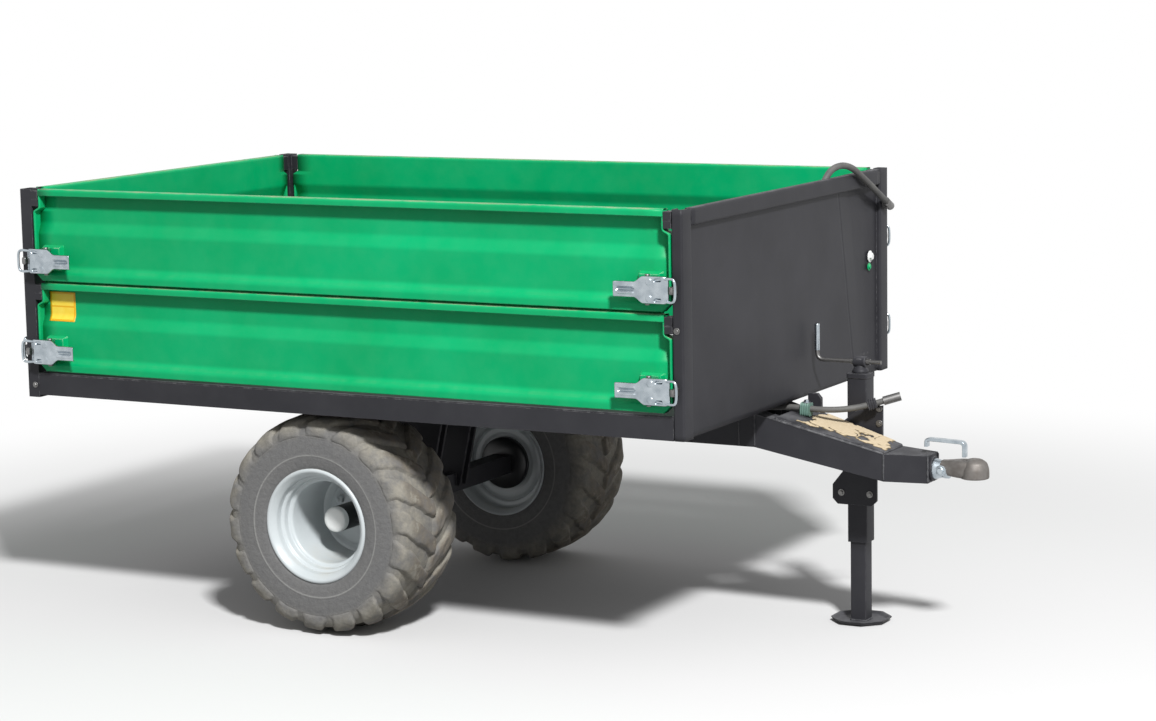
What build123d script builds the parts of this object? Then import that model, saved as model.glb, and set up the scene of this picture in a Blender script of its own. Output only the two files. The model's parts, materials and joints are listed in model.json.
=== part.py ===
"""Single-axle tipping trailer: steel bed with hinged side boards on a central drawbar frame.

X points forward along the drawbar, Y to the left, Z up, in millimetres.
The wheels and the foot of the jack stand on Z = 0.
Side boards are made on the right-hand side (minus Y) and wheels on the left, then mirrored.
"""
import os
from math import radians, tan

from build123d import *

# Driving dimensions of the wheels
TYRE_RADIUS = 330.0        # to the tips of the lugs
TYRE_WIDTH = 300.0
LUG_HEIGHT = 24.0
LUGS_PER_SIDE = 18
LUG_SHOULDER = 70.0        # length of a lug along the tread at the shoulder
LUG_CENTRE = 34.0
LUG_SWEEP = 92.0           # how far a lug's inner end leads its outer end
LUG_OVERLAP = 8.0          # inner ends reach past the centre line
LUG_INSET = 4.0            # outer ends inside the sidewall
LUG_SLANT = 42.0           # width of a lug's slanted shoulder
SHOULDER_DROP = 12.0
WHEEL_TRACK = 1082.0       # tyre centre to tyre centre
RIM_SEAT_RADIUS = 152.0
RIM_FLANGE_RADIUS = 161.0
RIM_WELL_RADIUS = 126.0
RIM_SHEET = 5.0
SEAT_LENGTH = 40.0
DISC_INSET = 90.0          # from the tyre's centre inwards to the wheel disc
DISC_PLATE = 8.0
HUB_RADIUS = 38.0
HUB_FLANGE_RADIUS = 85.0
HUB_FLANGE = 22.0
HUB_REACH = 125.0          # hub cap beyond the disc
HUB_CAP = 10.0
STUB_RADIUS = 20.0         # axle stub inside the hub
TURNING_GAP = 3.0

# Driving dimensions of the bed
BED_LENGTH = 2240.0
BED_WIDTH = 1450.0
BED_BOTTOM = 670.0
SILL_HEIGHT = 68.0
SILL_FLANGE = 50.0
LOWER_BOARD = 270.0        # height of the lower boards
UPPER_BOARD = 278.0        # height of the upper boards
REAR_OVERHANG = 1010.0     # axle to the bed's rear end
BOARD_DEPTH = 35.0         # flanges turned outwards
SHEET = 3.0
PLATE = 4.0
BOARD_GAP = 8.0
POST_DEPTH = 33.0          # front corner posts along X
REAR_POST = 40.0           # rear corner posts along X
POST_WIDTH = 50.0          # rear corner posts along Y
POST_FOOT = 8.0            # rear posts reach this far below the sills
END_GAP = 5.0              # board end to post
FRONT_RECESS = 14.0        # front sheet behind the corner posts' front faces
FRONT_CORNER = 60.0        # width of the front corner posts' front faces
FRONT_LIP = 45.0
CROSSMEMBERS = 5
MEMBER_WIDTH = 40.0
MEMBER_HEIGHT = 32.0
LONG_MEMBER_WIDTH = 60.0

# Driving dimensions of the chassis
RAIL_TOP = 653.0
RAIL_HEIGHT = 100.0
RAIL_WIDTH = 60.0
FRAME_WIDTH = 250.0        # over both rails
CROSS_TUBE = 24.0
CROSS_TUBE_HEIGHT = 50.0
AXLE_SIZE = 60.0
SADDLE_PLATE = 8.0
SADDLE_HALF = 95.0
PIVOT_REACH = 500.0        # axle back to the tipping pivot
PIVOT_DROP = 50.0          # pivot below the rails' top
PIN_RADIUS = 15.0
PIN_PROUD = 20.0           # pivot pin beyond the rails on each side
RAIL_END = 36.0            # rails' rear end behind the pivot, inside the bed's sweep
LUG_PLATE = 12.0
LUG_GAP = 4.0              # hinge lugs outside the rails
KINK_SETBACK = 70.0        # from the bed's front back to where the drawbar turns down
DRAWBAR_RUN = 381.0        # kink to the start of the nose
DRAWBAR_DROP = 103.0       # fall of its top over that run
DRAWBAR_END_HEIGHT = 80.0
DRAWBAR_INNER = 20.0       # half the gap between its rails at the nose
DRAWBAR_PLATE = 6.0
PLATE_SETBACK = 60.0       # top plate starts this far past the kink
NOSE_RUN = 122.0
NOSE_HALF_WIDTH = 74.0
NOSE_END_HALF_WIDTH = 40.0
NOSE_RISE = 3.0            # lower edge of the nose drops by this to its end
COUPLING_RUN = 127.0       # end of the nose to the ball
COUPLING_SHELL = 42.0      # radius of the coupling's head round the ball
COUPLING_NECK = 28.0
SHANK_RADIUS = 26.0
BALL_RADIUS = 25.0
BALL_DROP = 5.0            # ball's centre below the middle of the drawbar's end
HANDLE_WIDTH = 22.0
HANDLE_PLATE = 10.0

# Driving dimensions of the jack
JACK_RUN = 221.0           # kink forward to the jack's centre
JACK_TUBE = 62.0
JACK_TOP = 737.0
JACK_TUBE_BOTTOM = 243.0
JACK_LEG = 50.0
JACK_WALL = 5.0
JACK_TRAVEL = 210.0        # the leg slides up by this much
GEAR_HEAD = 56.0
FOOT_SIZE = 170.0
FOOT_PLATE = 5.0
FOOT_EDGE = 14.0           # height of the foot's turned-up edge
BRACKET_PLATE = 8.0
BRACKET_GAP = 2.0
CRANK_ARM = 138.0
CRANK_RISE = 42.0
CRANK_HANDLE = 100.0
CRANK_RADIUS = 7.0

# Driving dimensions of the tipping cylinder
BARREL_RADIUS = 35.0
ROD_RADIUS = 20.0
ROD_GAP = 0.5
CYLINDER_BASE_FORWARD = 180.0   # from the tipping pivot
CYLINDER_BASE_DROP = 144.0
CYLINDER_EYE_FORWARD = 830.0
CYLINDER_EYE_RISE = 31.0
BASE_EYE_HALF = 22.0
ROD_EYE_HALF = 23.0
EYE_GAP = 5.0

# Driving dimensions of the boards
LIP = 20.0                 # height of the rim's turned-down lip
NOTCH_LENGTH = 20.0        # board ends step back here for the hinge tabs
NOTCH_HEIGHT = 58.0
NOTCH_SLOPE = 10.0
TAB_CLEARANCE = 6.0        # hinge tab above and below in its notch
FOOT_CHAMFER = 26.0
SWAGE_OUT = 15.0           # depth of the middle band's step
SWAGE_TOP = 0.37           # share of the board's height at each bend of the pressed sheet
SWAGE_FOOT = 0.49
FLANGE_TOP = 0.85
FLANGE_FOOT = 0.925
HINGE_DROP = 30.0          # pivot below the board's top
HINGE_INSET = 8.0          # pivot inside the outer face
HINGE_RADIUS = 7.0

# Driving dimensions of the over-centre latches
LATCH_RISE = 62.0          # latch centre above a board's foot
LATCH_LENGTH = 185.0
LATCH_PIVOT = 88.0         # wire's bearing on the peg back to the lever's pivot
LATCH_TAIL = 70.0
LATCH_NARROW = 44.0
LATCH_WIDE = 76.0
LATCH_CHEEK = 34.0
LEVER_STAND = 31.0         # lever's plate outside the board's outer face
WIRE_STAND = 24.0
WIRE_RADIUS = 3.5
WIRE_LOOP = 52.0
LATCH_ROD = 11.0
SEAT_PROUD = 2.0
SEAT_LENGTH_X = 70.0
SEAT_HALF = 30.0
CATCH_SETBACK = 6.0
CATCH_HEIGHT = 24.0
CATCH_DEPTH = 36.0
CATCH_LENGTH = 14.0

# Driving dimensions of the bed's stop on the drawbar
STOP_GAP = 7.0
STOP_LENGTH = 42.0
STOP_RISE = 16.0           # above the bed's underside
STOP_CORNER = 12.0         # its sloped corner, along X
STOP_CORNER_DROP = 14.0
STOP_SIDE = 98.0

# Driving dimensions of the hoses
HOSE_RADIUS = 9.0
HOSE_BEND = 10.0           # bend radius as a multiple of a hose's own radius
HOSE_PLUG = 52.0
CLIP_WALL = 4.0
FRONT_HOSE_RADIUS = 10.0
HOSE_BULKHEAD = 360.0      # from the kink back to the cross tube that holds the nipple

# Places that follow from the driving dimensions
KINK_REACH = BED_LENGTH - REAR_OVERHANG - KINK_SETBACK
NOSE_REACH = KINK_REACH + DRAWBAR_RUN
NOSE_END_REACH = NOSE_REACH + NOSE_RUN
BALL_REACH = NOSE_END_REACH + COUPLING_RUN
FRONT_REACH = BALL_REACH + COUPLING_SHELL
JACK_REACH = KINK_REACH + JACK_RUN
AXLE_X = (REAR_OVERHANG + CATCH_DEPTH - FRONT_REACH) / 2
AXLE_Z = TYRE_RADIUS
WHEEL_Y = WHEEL_TRACK / 2
DISC_Y = WHEEL_Y - DISC_INSET
HUB_BACK = DISC_Y - DISC_PLATE / 2 - HUB_FLANGE
BED_REAR = AXLE_X - REAR_OVERHANG
BED_FRONT = BED_REAR + BED_LENGTH
SIDE = BED_WIDTH / 2
FLOOR_TOP = BED_BOTTOM + SILL_HEIGHT
BOARD_FOOT = FLOOR_TOP + BOARD_GAP - 1
SPLIT_HEIGHT = BOARD_FOOT + LOWER_BOARD + BOARD_GAP / 2   # middle of the gap between the boards
WALL_TOP = SPLIT_HEIGHT + BOARD_GAP / 2 + UPPER_BOARD
UNDER_FLOOR = FLOOR_TOP - PLATE
INNER_FRONT = BED_FRONT - FRONT_RECESS - PLATE
MEMBER_PITCH = (INNER_FRONT - BED_REAR - MEMBER_WIDTH) / (CROSSMEMBERS - 1)
RAIL_BOTTOM = RAIL_TOP - RAIL_HEIGHT
RAIL_OUT = FRAME_WIDTH / 2
RAIL_IN = RAIL_OUT - RAIL_WIDTH
PIVOT_X = AXLE_X - PIVOT_REACH
PIVOT_Z = RAIL_TOP - PIVOT_DROP
EYE_X = PIVOT_X + CYLINDER_EYE_FORWARD
EYE_Z = PIVOT_Z + CYLINDER_EYE_RISE
BASE_X = PIVOT_X + CYLINDER_BASE_FORWARD
BASE_Z = PIVOT_Z - CYLINDER_BASE_DROP
KINK_X = AXLE_X + KINK_REACH
NOSE_X = AXLE_X + NOSE_REACH
NOSE_END_X = AXLE_X + NOSE_END_REACH
BALL_X = AXLE_X + BALL_REACH
BALL_HEIGHT = RAIL_TOP - DRAWBAR_DROP - DRAWBAR_END_HEIGHT / 2 - BALL_DROP
JACK_X = AXLE_X + JACK_REACH
REAR_POST_FACE = BED_REAR + REAR_POST
FRONT_POST_FACE = BED_FRONT - POST_DEPTH
BOARD_REAR = REAR_POST_FACE + END_GAP
BOARD_FRONT = FRONT_POST_FACE - END_GAP
BOARD_LEVELS = {
    "lower": (BOARD_FOOT, SPLIT_HEIGHT - BOARD_GAP / 2),
    "upper": (SPLIT_HEIGHT + BOARD_GAP / 2, WALL_TOP),
}
GATE_HALF = SIDE - POST_WIDTH - END_GAP
GATE_PLACE = Location((BED_REAR, 0, 0), (0, 0, -90))
BRACKET_REAR = JACK_X - JACK_TUBE / 2 - 11
BRACKET_TAPER = (RAIL_OUT - NOSE_HALF_WIDTH) * (BRACKET_REAR - KINK_X) / DRAWBAR_RUN
BRACKET_Y = RAIL_OUT - BRACKET_TAPER + BRACKET_GAP
JACK_Y = BRACKET_Y + BRACKET_PLATE + JACK_TUBE / 2
HOSE_BULKHEAD_X = KINK_X - HOSE_BULKHEAD

# Hose along the drawbar, measured from the kink forward, to the left and up from the rails' top
DRAWBAR_HOSE = [(KINK_X + x, y, RAIL_TOP + z) for x, y, z in (
    (-318, 20, -53), (-210, 20, -53), (-75, 15, -12), (40, 10, 2.5), (170, 12, -3),
    (250, 62, 2), (314, 91, 22),
)]
# Hose over the front board, measured from the bed's front, from its left side inwards and up from its rim
FRONT_HOSE = [(BED_FRONT + x, SIDE - y, WALL_TOP + z) for x, y, z in (
    (-34, 475, -181), (-35, 463, -86), (-30, 407, 21), (2, 327, 39), (19, 220, -21), (16, 57, -99),
)]

os.makedirs("parts", exist_ok=True)


def save(part, name):
    """Label a finished piece and write it as its own file."""
    part.label = name
    export_step(part, f"parts/{name}.step")


def bar(x0, x1, y0, y1, z0, z1):
    """A straight bar between two corners."""
    with BuildPart() as piece:
        with BuildSketch(Plane.XY.offset(z0)):
            with Locations(((x0 + x1) / 2, (y0 + y1) / 2)):
                Rectangle(abs(x1 - x0), abs(y1 - y0))
        extrude(amount=z1 - z0)
    return piece.part


def board_bends(bottom, top):
    """Centre line of the pressed sheet as (depth outwards, height), from the rim's lip to the foot."""
    height = top - bottom
    half = SHEET / 2
    outer = BOARD_DEPTH - half
    inner = half
    return [
        (outer, top - LIP),
        (outer, top - half),
        (inner, top - half),
        (inner, top - SWAGE_TOP * height),
        (inner + SWAGE_OUT, top - SWAGE_FOOT * height),
        (inner + SWAGE_OUT, top - FLANGE_TOP * height),
        (outer, top - FLANGE_FOOT * height),
        (outer, bottom),
    ]


def board_ends(x, inwards, bottom, top):
    """Outline of one end of a board from its top down, stepped for the hinge tab, chamfered at the foot."""
    step = x + inwards * NOTCH_LENGTH
    return [
        (step, top),
        (step, top - NOTCH_HEIGHT),
        (x, top - NOTCH_HEIGHT - NOTCH_SLOPE),
        (x, bottom + FOOT_CHAMFER),
        (x + inwards * FOOT_CHAMFER, bottom),
    ]


def pressed_board(x0, x1, levels, face):
    """One drop-down board on the minus Y side, its outer face at -face.

    levels lists (bottom, top) of each pressed panel, lowest first.
    """
    bottom = levels[0][0]
    top = levels[-1][1]
    inner = face - BOARD_DEPTH
    rear_end = board_ends(x0, 1, bottom, top)
    front_end = board_ends(x1, -1, bottom, top)
    outline = rear_end + front_end[::-1]
    with BuildPart() as board:
        for low, high in levels:
            with BuildSketch(Plane.YZ.offset(x0)):
                with BuildLine():
                    Polyline(*[(-inner - depth, z) for depth, z in board_bends(low, high)])
                trace(line_width=SHEET)
            extrude(amount=x1 - x0)
        with BuildSketch(Plane.XZ.offset(inner)):
            with BuildLine():
                Polyline(*outline, close=True)
            make_face()
        extrude(amount=BOARD_DEPTH, mode=Mode.INTERSECT)
        for end in (rear_end, front_end):
            with BuildSketch(Plane.XZ.offset(inner)):
                with BuildLine():
                    Polyline(*end)
                trace(line_width=2 * SHEET)
                with BuildLine():
                    Polyline(*outline, close=True)
                make_face(mode=Mode.INTERSECT)
            extrude(amount=BOARD_DEPTH)
        root = SHEET / 2
        for end, sign in ((x0 + NOTCH_LENGTH, -1), (x1 - NOTCH_LENGTH, 1)):
            with BuildSketch(Plane.YZ.offset(end - sign * root)):
                with Locations((-face + HINGE_INSET, top - HINGE_DROP)):
                    Circle(HINGE_RADIUS)
            extrude(amount=sign * (root + NOTCH_LENGTH + END_GAP - 2))
    return board.part


def latch(post_face, height, toward, face):
    """Over-centre latch beside a post, its wire loop round the peg; toward is +1 or -1 along the board."""
    bearing = post_face + toward * (CATCH_SETBACK + CATCH_LENGTH + WIRE_RADIUS + 1)
    tail = bearing - toward * LATCH_LENGTH
    axis = bearing - toward * LATCH_PIVOT
    heel = axis - toward * LATCH_CHEEK / 4
    toe = heel + toward * LATCH_CHEEK
    narrow = LATCH_NARROW / 2
    wide = LATCH_WIDE / 2
    lever = face + LEVER_STAND
    with BuildPart() as piece:
        with BuildSketch(Plane.XZ.offset(lever)):
            with BuildLine():
                Polyline(
                    (tail, height - narrow), (tail + toward * LATCH_TAIL, height - narrow),
                    (heel, height - wide), (toe, height - wide), (toe, height + wide), (heel, height + wide),
                    (tail + toward * LATCH_TAIL, height + narrow), (tail, height + narrow), close=True,
                )
            make_face()
        extrude(amount=SHEET)
        for edge in (height - wide, height + wide - SHEET):
            with BuildSketch(Plane.XY.offset(edge)):
                with BuildLine():
                    Polyline(
                        (heel, -lever), (toe, -lever), (axis + toward * 12, -face - SEAT_PROUD),
                        (axis - toward * 4, -face - SEAT_PROUD), close=True,
                    )
                make_face()
            extrude(amount=SHEET)
        with BuildSketch(Plane.XY.offset(height - wide)):
            with Locations((axis, -face - WIRE_STAND)):
                Rectangle(LATCH_ROD, LATCH_ROD)
        extrude(amount=LATCH_WIDE)
        reach = abs(bearing - axis)
        wire = 2 * WIRE_RADIUS
        with BuildSketch(Plane.XZ.offset(face + WIRE_STAND - WIRE_RADIUS)):
            with Locations(((axis + bearing) / 2, height)):
                Rectangle(reach + wire, WIRE_LOOP)
                Rectangle(reach - wire, WIRE_LOOP - 2 * wire, mode=Mode.SUBTRACT)
        extrude(amount=wire)
    return piece.part


def latch_seat(post_face, height, toward, face):
    """Pressed bracket between a board's sheet and its latch."""
    near = post_face - toward * (END_GAP + FOOT_CHAMFER)
    return bar(near, near - toward * SEAT_LENGTH_X, -face - SEAT_PROUD, -face + BOARD_DEPTH - 1,
               height - SEAT_HALF, height + SEAT_HALF)


def catch(post_face, height, toward, face):
    """Square peg on a post that the wire loop pulls against."""
    near = post_face + toward * CATCH_SETBACK
    return bar(near, near + toward * CATCH_LENGTH, -face - CATCH_DEPTH, -face,
               height - CATCH_HEIGHT / 2, height + CATCH_HEIGHT / 2)


def hinge_tab(x0, x1, top, face):
    """Tab on a post with the hole for a board's hinge pin."""
    with BuildPart() as tab:
        with BuildSketch(Plane.YZ.offset(x0)):
            with Locations((-face + BOARD_DEPTH / 2, top - NOTCH_HEIGHT / 2)):
                Rectangle(BOARD_DEPTH, NOTCH_HEIGHT - 2 * TAB_CLEARANCE)
            with Locations((-face + HINGE_INSET, top - HINGE_DROP)):
                Circle(HINGE_RADIUS + ROD_GAP, mode=Mode.SUBTRACT)
        extrude(amount=x1 - x0)
    return tab.part


def side_boards():
    """Both boards of a side with their latches, mirrored to the other side."""
    ends = ((REAR_POST_FACE, -1), (FRONT_POST_FACE, 1))
    for level, (bottom, top) in BOARD_LEVELS.items():
        height = bottom + LATCH_RISE
        board = pressed_board(BOARD_REAR, BOARD_FRONT, [(bottom, top)], SIDE)
        for post_face, toward in ends:
            board = board.fuse(latch_seat(post_face, height, toward, SIDE))
        latches = Compound(children=[latch(post_face, height, toward, SIDE) for post_face, toward in ends])
        for piece, kind in ((board, "board"), (latches, "latches")):
            save(piece, f"right_{level}_{kind}")
            save(mirror(piece, about=Plane.XZ), f"left_{level}_{kind}")


def tailgate():
    """Full-height tailgate of two pressed panels, hung from pins at its top, with latches at its foot."""
    post_face = SIDE - POST_WIDTH
    height = BOARD_FOOT + LATCH_RISE
    levels = [(BOARD_FOOT, SPLIT_HEIGHT), (SPLIT_HEIGHT, WALL_TOP)]
    gate = pressed_board(-GATE_HALF, GATE_HALF, levels, 0)
    latches = []
    pegs = []
    for toward in (-1, 1):
        gate = gate.fuse(latch_seat(toward * post_face, height, toward, 0))
        latches.append(latch(toward * post_face, height, toward, 0).moved(GATE_PLACE))
        pegs.append(catch(toward * post_face, height, toward, 0).moved(GATE_PLACE))
    save(gate.moved(GATE_PLACE), "tailgate")
    save(Compound(children=latches), "tailgate_latches")
    save(Compound(children=pegs), "rear_catches")


def posts_and_catches():
    """Rear corner posts, hinge tabs of all corners and the pegs for the side latches."""
    with BuildPart() as post:
        with BuildSketch(Plane.XY.offset(BED_BOTTOM - POST_FOOT)):
            with Locations((BED_REAR + REAR_POST / 2, -SIDE + POST_WIDTH / 2)):
                Rectangle(REAR_POST, POST_WIDTH)
                Rectangle(REAR_POST - 2 * PLATE, POST_WIDTH - 2 * PLATE, mode=Mode.SUBTRACT)
        extrude(amount=WALL_TOP - BED_BOTTOM + POST_FOOT)
    rear = post.part
    tabs = []
    pegs = []
    for bottom, top in BOARD_LEVELS.values():
        rear = rear.fuse(hinge_tab(REAR_POST_FACE, BOARD_REAR + NOTCH_LENGTH - 1, top, SIDE))
        tabs.append(hinge_tab(BOARD_FRONT - NOTCH_LENGTH + 1, FRONT_POST_FACE, top, SIDE))
        pegs.append(catch(REAR_POST_FACE, bottom + LATCH_RISE, -1, SIDE))
        pegs.append(catch(FRONT_POST_FACE, bottom + LATCH_RISE, 1, SIDE))
    gate_tab = hinge_tab(GATE_HALF - NOTCH_LENGTH + 1, GATE_HALF + END_GAP, WALL_TOP, 0)
    rear = rear.fuse(gate_tab.moved(GATE_PLACE))
    save(Compound(children=[rear, mirror(rear, about=Plane.XZ)]), "rear_posts")
    save(Compound(children=tabs + [mirror(tab, about=Plane.XZ) for tab in tabs]), "front_hinge_tabs")
    save(Compound(children=pegs), "right_catches")
    save(Compound(children=[mirror(peg, about=Plane.XZ) for peg in pegs]), "left_catches")


def front_board():
    """Front wall folded from one sheet: corner posts, recessed face and a rolled top lip."""
    half = PLATE / 2
    post_x = FRONT_POST_FACE + half
    front_x = BED_FRONT - half
    sheet_x = INNER_FRONT + half
    corner_y = SIDE - FRONT_CORNER + half
    with BuildPart() as board:
        with BuildSketch(Plane.XY.offset(BED_BOTTOM)):
            with BuildLine():
                Polyline(
                    (post_x, -SIDE + BOARD_DEPTH + half), (post_x, -SIDE + half), (front_x, -SIDE + half),
                    (front_x, -corner_y), (sheet_x, -corner_y), (sheet_x, corner_y), (front_x, corner_y),
                    (front_x, SIDE - half), (post_x, SIDE - half), (post_x, SIDE - BOARD_DEPTH - half),
                )
            trace(line_width=PLATE)
        extrude(amount=WALL_TOP - BED_BOTTOM)
        with BuildSketch(Plane.XY.offset(BED_BOTTOM)):
            with Locations((post_x, 0)):
                Rectangle(PLATE, 2 * (SIDE - PLATE))
        extrude(amount=SILL_HEIGHT, mode=Mode.SUBTRACT)
        with BuildSketch(Plane.XZ.offset(-SIDE)):
            with BuildLine():
                Polyline((sheet_x, WALL_TOP - half), (front_x, WALL_TOP - half), (front_x, WALL_TOP - FRONT_LIP))
            trace(line_width=PLATE)
        extrude(amount=2 * SIDE)
    save(board.part, "front_board")


def crossmember_x(index):
    """Centre of a crossmember, counted from the bed's rear end."""
    return BED_REAR + MEMBER_WIDTH / 2 + index * MEMBER_PITCH


def bed_frame():
    """Floor plate, channel side sills, crossmembers and the two long members above the rails."""
    sills = []
    for side in (-1, 1):
        with BuildPart() as sill:
            with BuildSketch(Plane.YZ.offset(REAR_POST_FACE)):
                with BuildLine():
                    Polyline(
                        (side * (SIDE - SILL_FLANGE), BED_BOTTOM + PLATE / 2),
                        (side * (SIDE - PLATE / 2), BED_BOTTOM + PLATE / 2),
                        (side * (SIDE - PLATE / 2), UNDER_FLOOR - PLATE / 2),
                        (side * (SIDE - SILL_FLANGE), UNDER_FLOOR - PLATE / 2),
                    )
                trace(line_width=PLATE)
            extrude(amount=FRONT_POST_FACE - REAR_POST_FACE)
        sills.append(sill.part)
    save(Compound(children=sills), "bed_sills")
    members = []
    for index in range(CROSSMEMBERS):
        at_end = index in (0, CROSSMEMBERS - 1)
        low = BED_BOTTOM if at_end else BED_BOTTOM + MEMBER_HEIGHT
        reach = SIDE - (POST_WIDTH if index == 0 else SILL_FLANGE)
        x = crossmember_x(index)
        members.append(bar(x - MEMBER_WIDTH / 2, x + MEMBER_WIDTH / 2, -reach, reach, low, UNDER_FLOOR))
    save(Compound(children=members), "bed_crossmembers")
    start = crossmember_x(0) + MEMBER_WIDTH / 2
    end = crossmember_x(CROSSMEMBERS - 1) - MEMBER_WIDTH / 2
    half = LONG_MEMBER_WIDTH / 2
    longs = [
        bar(start, end, side * RAIL_OUT - half, side * RAIL_OUT + half, BED_BOTTOM, BED_BOTTOM + MEMBER_HEIGHT)
        for side in (-1, 1)
    ]
    save(Compound(children=longs), "bed_long_members")
    with BuildPart() as floor:
        with BuildSketch(Plane.XY.offset(UNDER_FLOOR)):
            with Locations(((BED_REAR + FRONT_POST_FACE) / 2, 0)):
                Rectangle(FRONT_POST_FACE - BED_REAR, BED_WIDTH)
            with Locations(((FRONT_POST_FACE + INNER_FRONT) / 2, 0)):
                Rectangle(INNER_FRONT - FRONT_POST_FACE, BED_WIDTH - 2 * FRONT_CORNER)
            with Locations(*[(BED_REAR + REAR_POST / 2, side * (SIDE - POST_WIDTH / 2)) for side in (-1, 1)]):
                Rectangle(REAR_POST, POST_WIDTH, mode=Mode.SUBTRACT)
        extrude(amount=PLATE)
    save(floor.part, "bed_floor")


def lug_plate(y, x, top, eye_z, foot_half, eye_radius, hole_radius):
    """Tapered plate from a frame down to a round eye, its middle at y."""
    with BuildPart() as lug:
        with BuildSketch(Plane.XZ.offset(-y - LUG_PLATE / 2)):
            with BuildLine():
                Polyline((x - foot_half, top), (x + foot_half, top), (x + eye_radius, eye_z),
                         (x - eye_radius, eye_z), close=True)
            make_face()
            with Locations((x, eye_z)):
                Circle(eye_radius)
                if hole_radius:
                    Circle(hole_radius, mode=Mode.SUBTRACT)
        extrude(amount=LUG_PLATE)
    return lug.part


def bed_lugs():
    """Hinge lugs under the bed's rear and the bracket for the cylinder's rod."""
    hinge_y = RAIL_OUT + LUG_GAP + LUG_PLATE / 2
    save(Compound(children=[
        lug_plate(side * hinge_y, PIVOT_X, BED_BOTTOM, PIVOT_Z, 55, 28, PIN_RADIUS + ROD_GAP)
        for side in (-1, 1)
    ]), "tip_hinge_lugs")
    eye_y = ROD_EYE_HALF + EYE_GAP + LUG_PLATE / 2
    under_plate = BED_BOTTOM + MEMBER_HEIGHT - LUG_PLATE
    width = RAIL_OUT - LONG_MEMBER_WIDTH / 2
    bracket = bar(EYE_X - 45, EYE_X + 45, -width, width, under_plate, under_plate + LUG_PLATE)
    for side in (-1, 1):
        bracket = bracket.fuse(lug_plate(side * eye_y, EYE_X, under_plate, EYE_Z, 45, 22, 0))
    save(bracket, "cylinder_bracket")


def chassis_frame():
    """Two box rails with cross tubes, the tipping pin and the cylinder's base lugs."""
    rear = PIVOT_X - RAIL_END
    tube_low = RAIL_BOTTOM + (RAIL_HEIGHT - CROSS_TUBE_HEIGHT) / 2 - 5
    base_lug_y = BARREL_RADIUS + EYE_GAP + LUG_PLATE / 2
    shelf = base_lug_y - LUG_PLATE / 2
    with BuildPart() as frame:
        with BuildSketch(Plane.YZ.offset(rear)):
            with Locations(*[(side * (RAIL_OUT - RAIL_WIDTH / 2), RAIL_TOP - RAIL_HEIGHT / 2) for side in (-1, 1)]):
                Rectangle(RAIL_WIDTH, RAIL_HEIGHT)
                Rectangle(RAIL_WIDTH - 2 * PLATE, RAIL_HEIGHT - 2 * PLATE, mode=Mode.SUBTRACT)
        extrude(amount=KINK_X - rear)
        with BuildSketch(Plane.XY.offset(tube_low)):
            with Locations(*[(x, 0) for x in (rear + CROSS_TUBE / 2, EYE_X + 110, HOSE_BULKHEAD_X, KINK_X - 30)]):
                Rectangle(CROSS_TUBE, 2 * RAIL_IN)
        extrude(amount=CROSS_TUBE_HEIGHT)
        with BuildSketch(Plane.XZ.offset(-RAIL_OUT - PIN_PROUD)):
            with Locations((PIVOT_X, PIVOT_Z)):
                Circle(PIN_RADIUS)
        extrude(amount=2 * (RAIL_OUT + PIN_PROUD))
        with BuildSketch(Plane.XY.offset(RAIL_BOTTOM - SADDLE_PLATE)):
            for side in (-1, 1):
                with Locations((BASE_X, side * (RAIL_OUT + shelf) / 2)):
                    Rectangle(150, RAIL_OUT - shelf)
        extrude(amount=SADDLE_PLATE)
        with BuildSketch(Plane.XZ.offset(-base_lug_y)):
            with Locations((BASE_X, BASE_Z)):
                Circle(PIN_RADIUS)
        extrude(amount=2 * base_lug_y)
    chassis = frame.part
    for side in (-1, 1):
        chassis = chassis.fuse(lug_plate(side * base_lug_y, BASE_X, RAIL_BOTTOM, BASE_Z, 60, 30, 0))
    save(chassis, "chassis_frame")


def rest_pads():
    """Rubber pads on the rails that the lowered bed rests on."""
    x = crossmember_x(CROSSMEMBERS - 2)
    pads = [
        bar(x - 30, x + 30, side * RAIL_OUT, side * (RAIL_OUT - 40), RAIL_TOP, BED_BOTTOM)
        for side in (-1, 1)
    ]
    save(Compound(children=pads), "rest_pads")


def axle():
    """Square axle beam with saddle plates up to the rails and round stub ends."""
    beam_end = HUB_BACK - TURNING_GAP
    stub_end = DISC_Y + HUB_REACH - HUB_CAP - TURNING_GAP
    foot = AXLE_SIZE / 2 + 12
    with BuildPart() as beam:
        with BuildSketch(Plane.XZ.offset(-beam_end)):
            with Locations((AXLE_X, AXLE_Z)):
                Rectangle(AXLE_SIZE, AXLE_SIZE)
        extrude(amount=2 * beam_end)
        with BuildSketch(Plane.XZ.offset(-stub_end)):
            with Locations((AXLE_X, AXLE_Z)):
                Circle(STUB_RADIUS)
        extrude(amount=2 * stub_end)
        for side in (-1, 1):
            for plate_y in (RAIL_IN + SADDLE_PLATE, RAIL_OUT - 2 * SADDLE_PLATE):
                with BuildSketch(Plane.XZ.offset(side * (plate_y + SADDLE_PLATE / 2) - SADDLE_PLATE / 2)):
                    with BuildLine():
                        Polyline(
                            (AXLE_X - SADDLE_HALF, RAIL_BOTTOM), (AXLE_X + SADDLE_HALF, RAIL_BOTTOM),
                            (AXLE_X + foot, AXLE_Z - 10), (AXLE_X - foot, AXLE_Z - 10), close=True,
                        )
                    make_face()
                extrude(amount=SADDLE_PLATE)
    save(beam.part, "axle_beam")


def along_drawbar(x, at_kink, at_nose):
    """A drawbar size at a place between its kink and its nose, straight behind the kink."""
    share = max(x - KINK_X, 0) / DRAWBAR_RUN
    return at_kink + share * (at_nose - at_kink)


def drawbar_side(x):
    return along_drawbar(x, RAIL_OUT, NOSE_HALF_WIDTH)


def drawbar_high(x):
    return along_drawbar(x, RAIL_TOP, RAIL_TOP - DRAWBAR_DROP)


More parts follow.
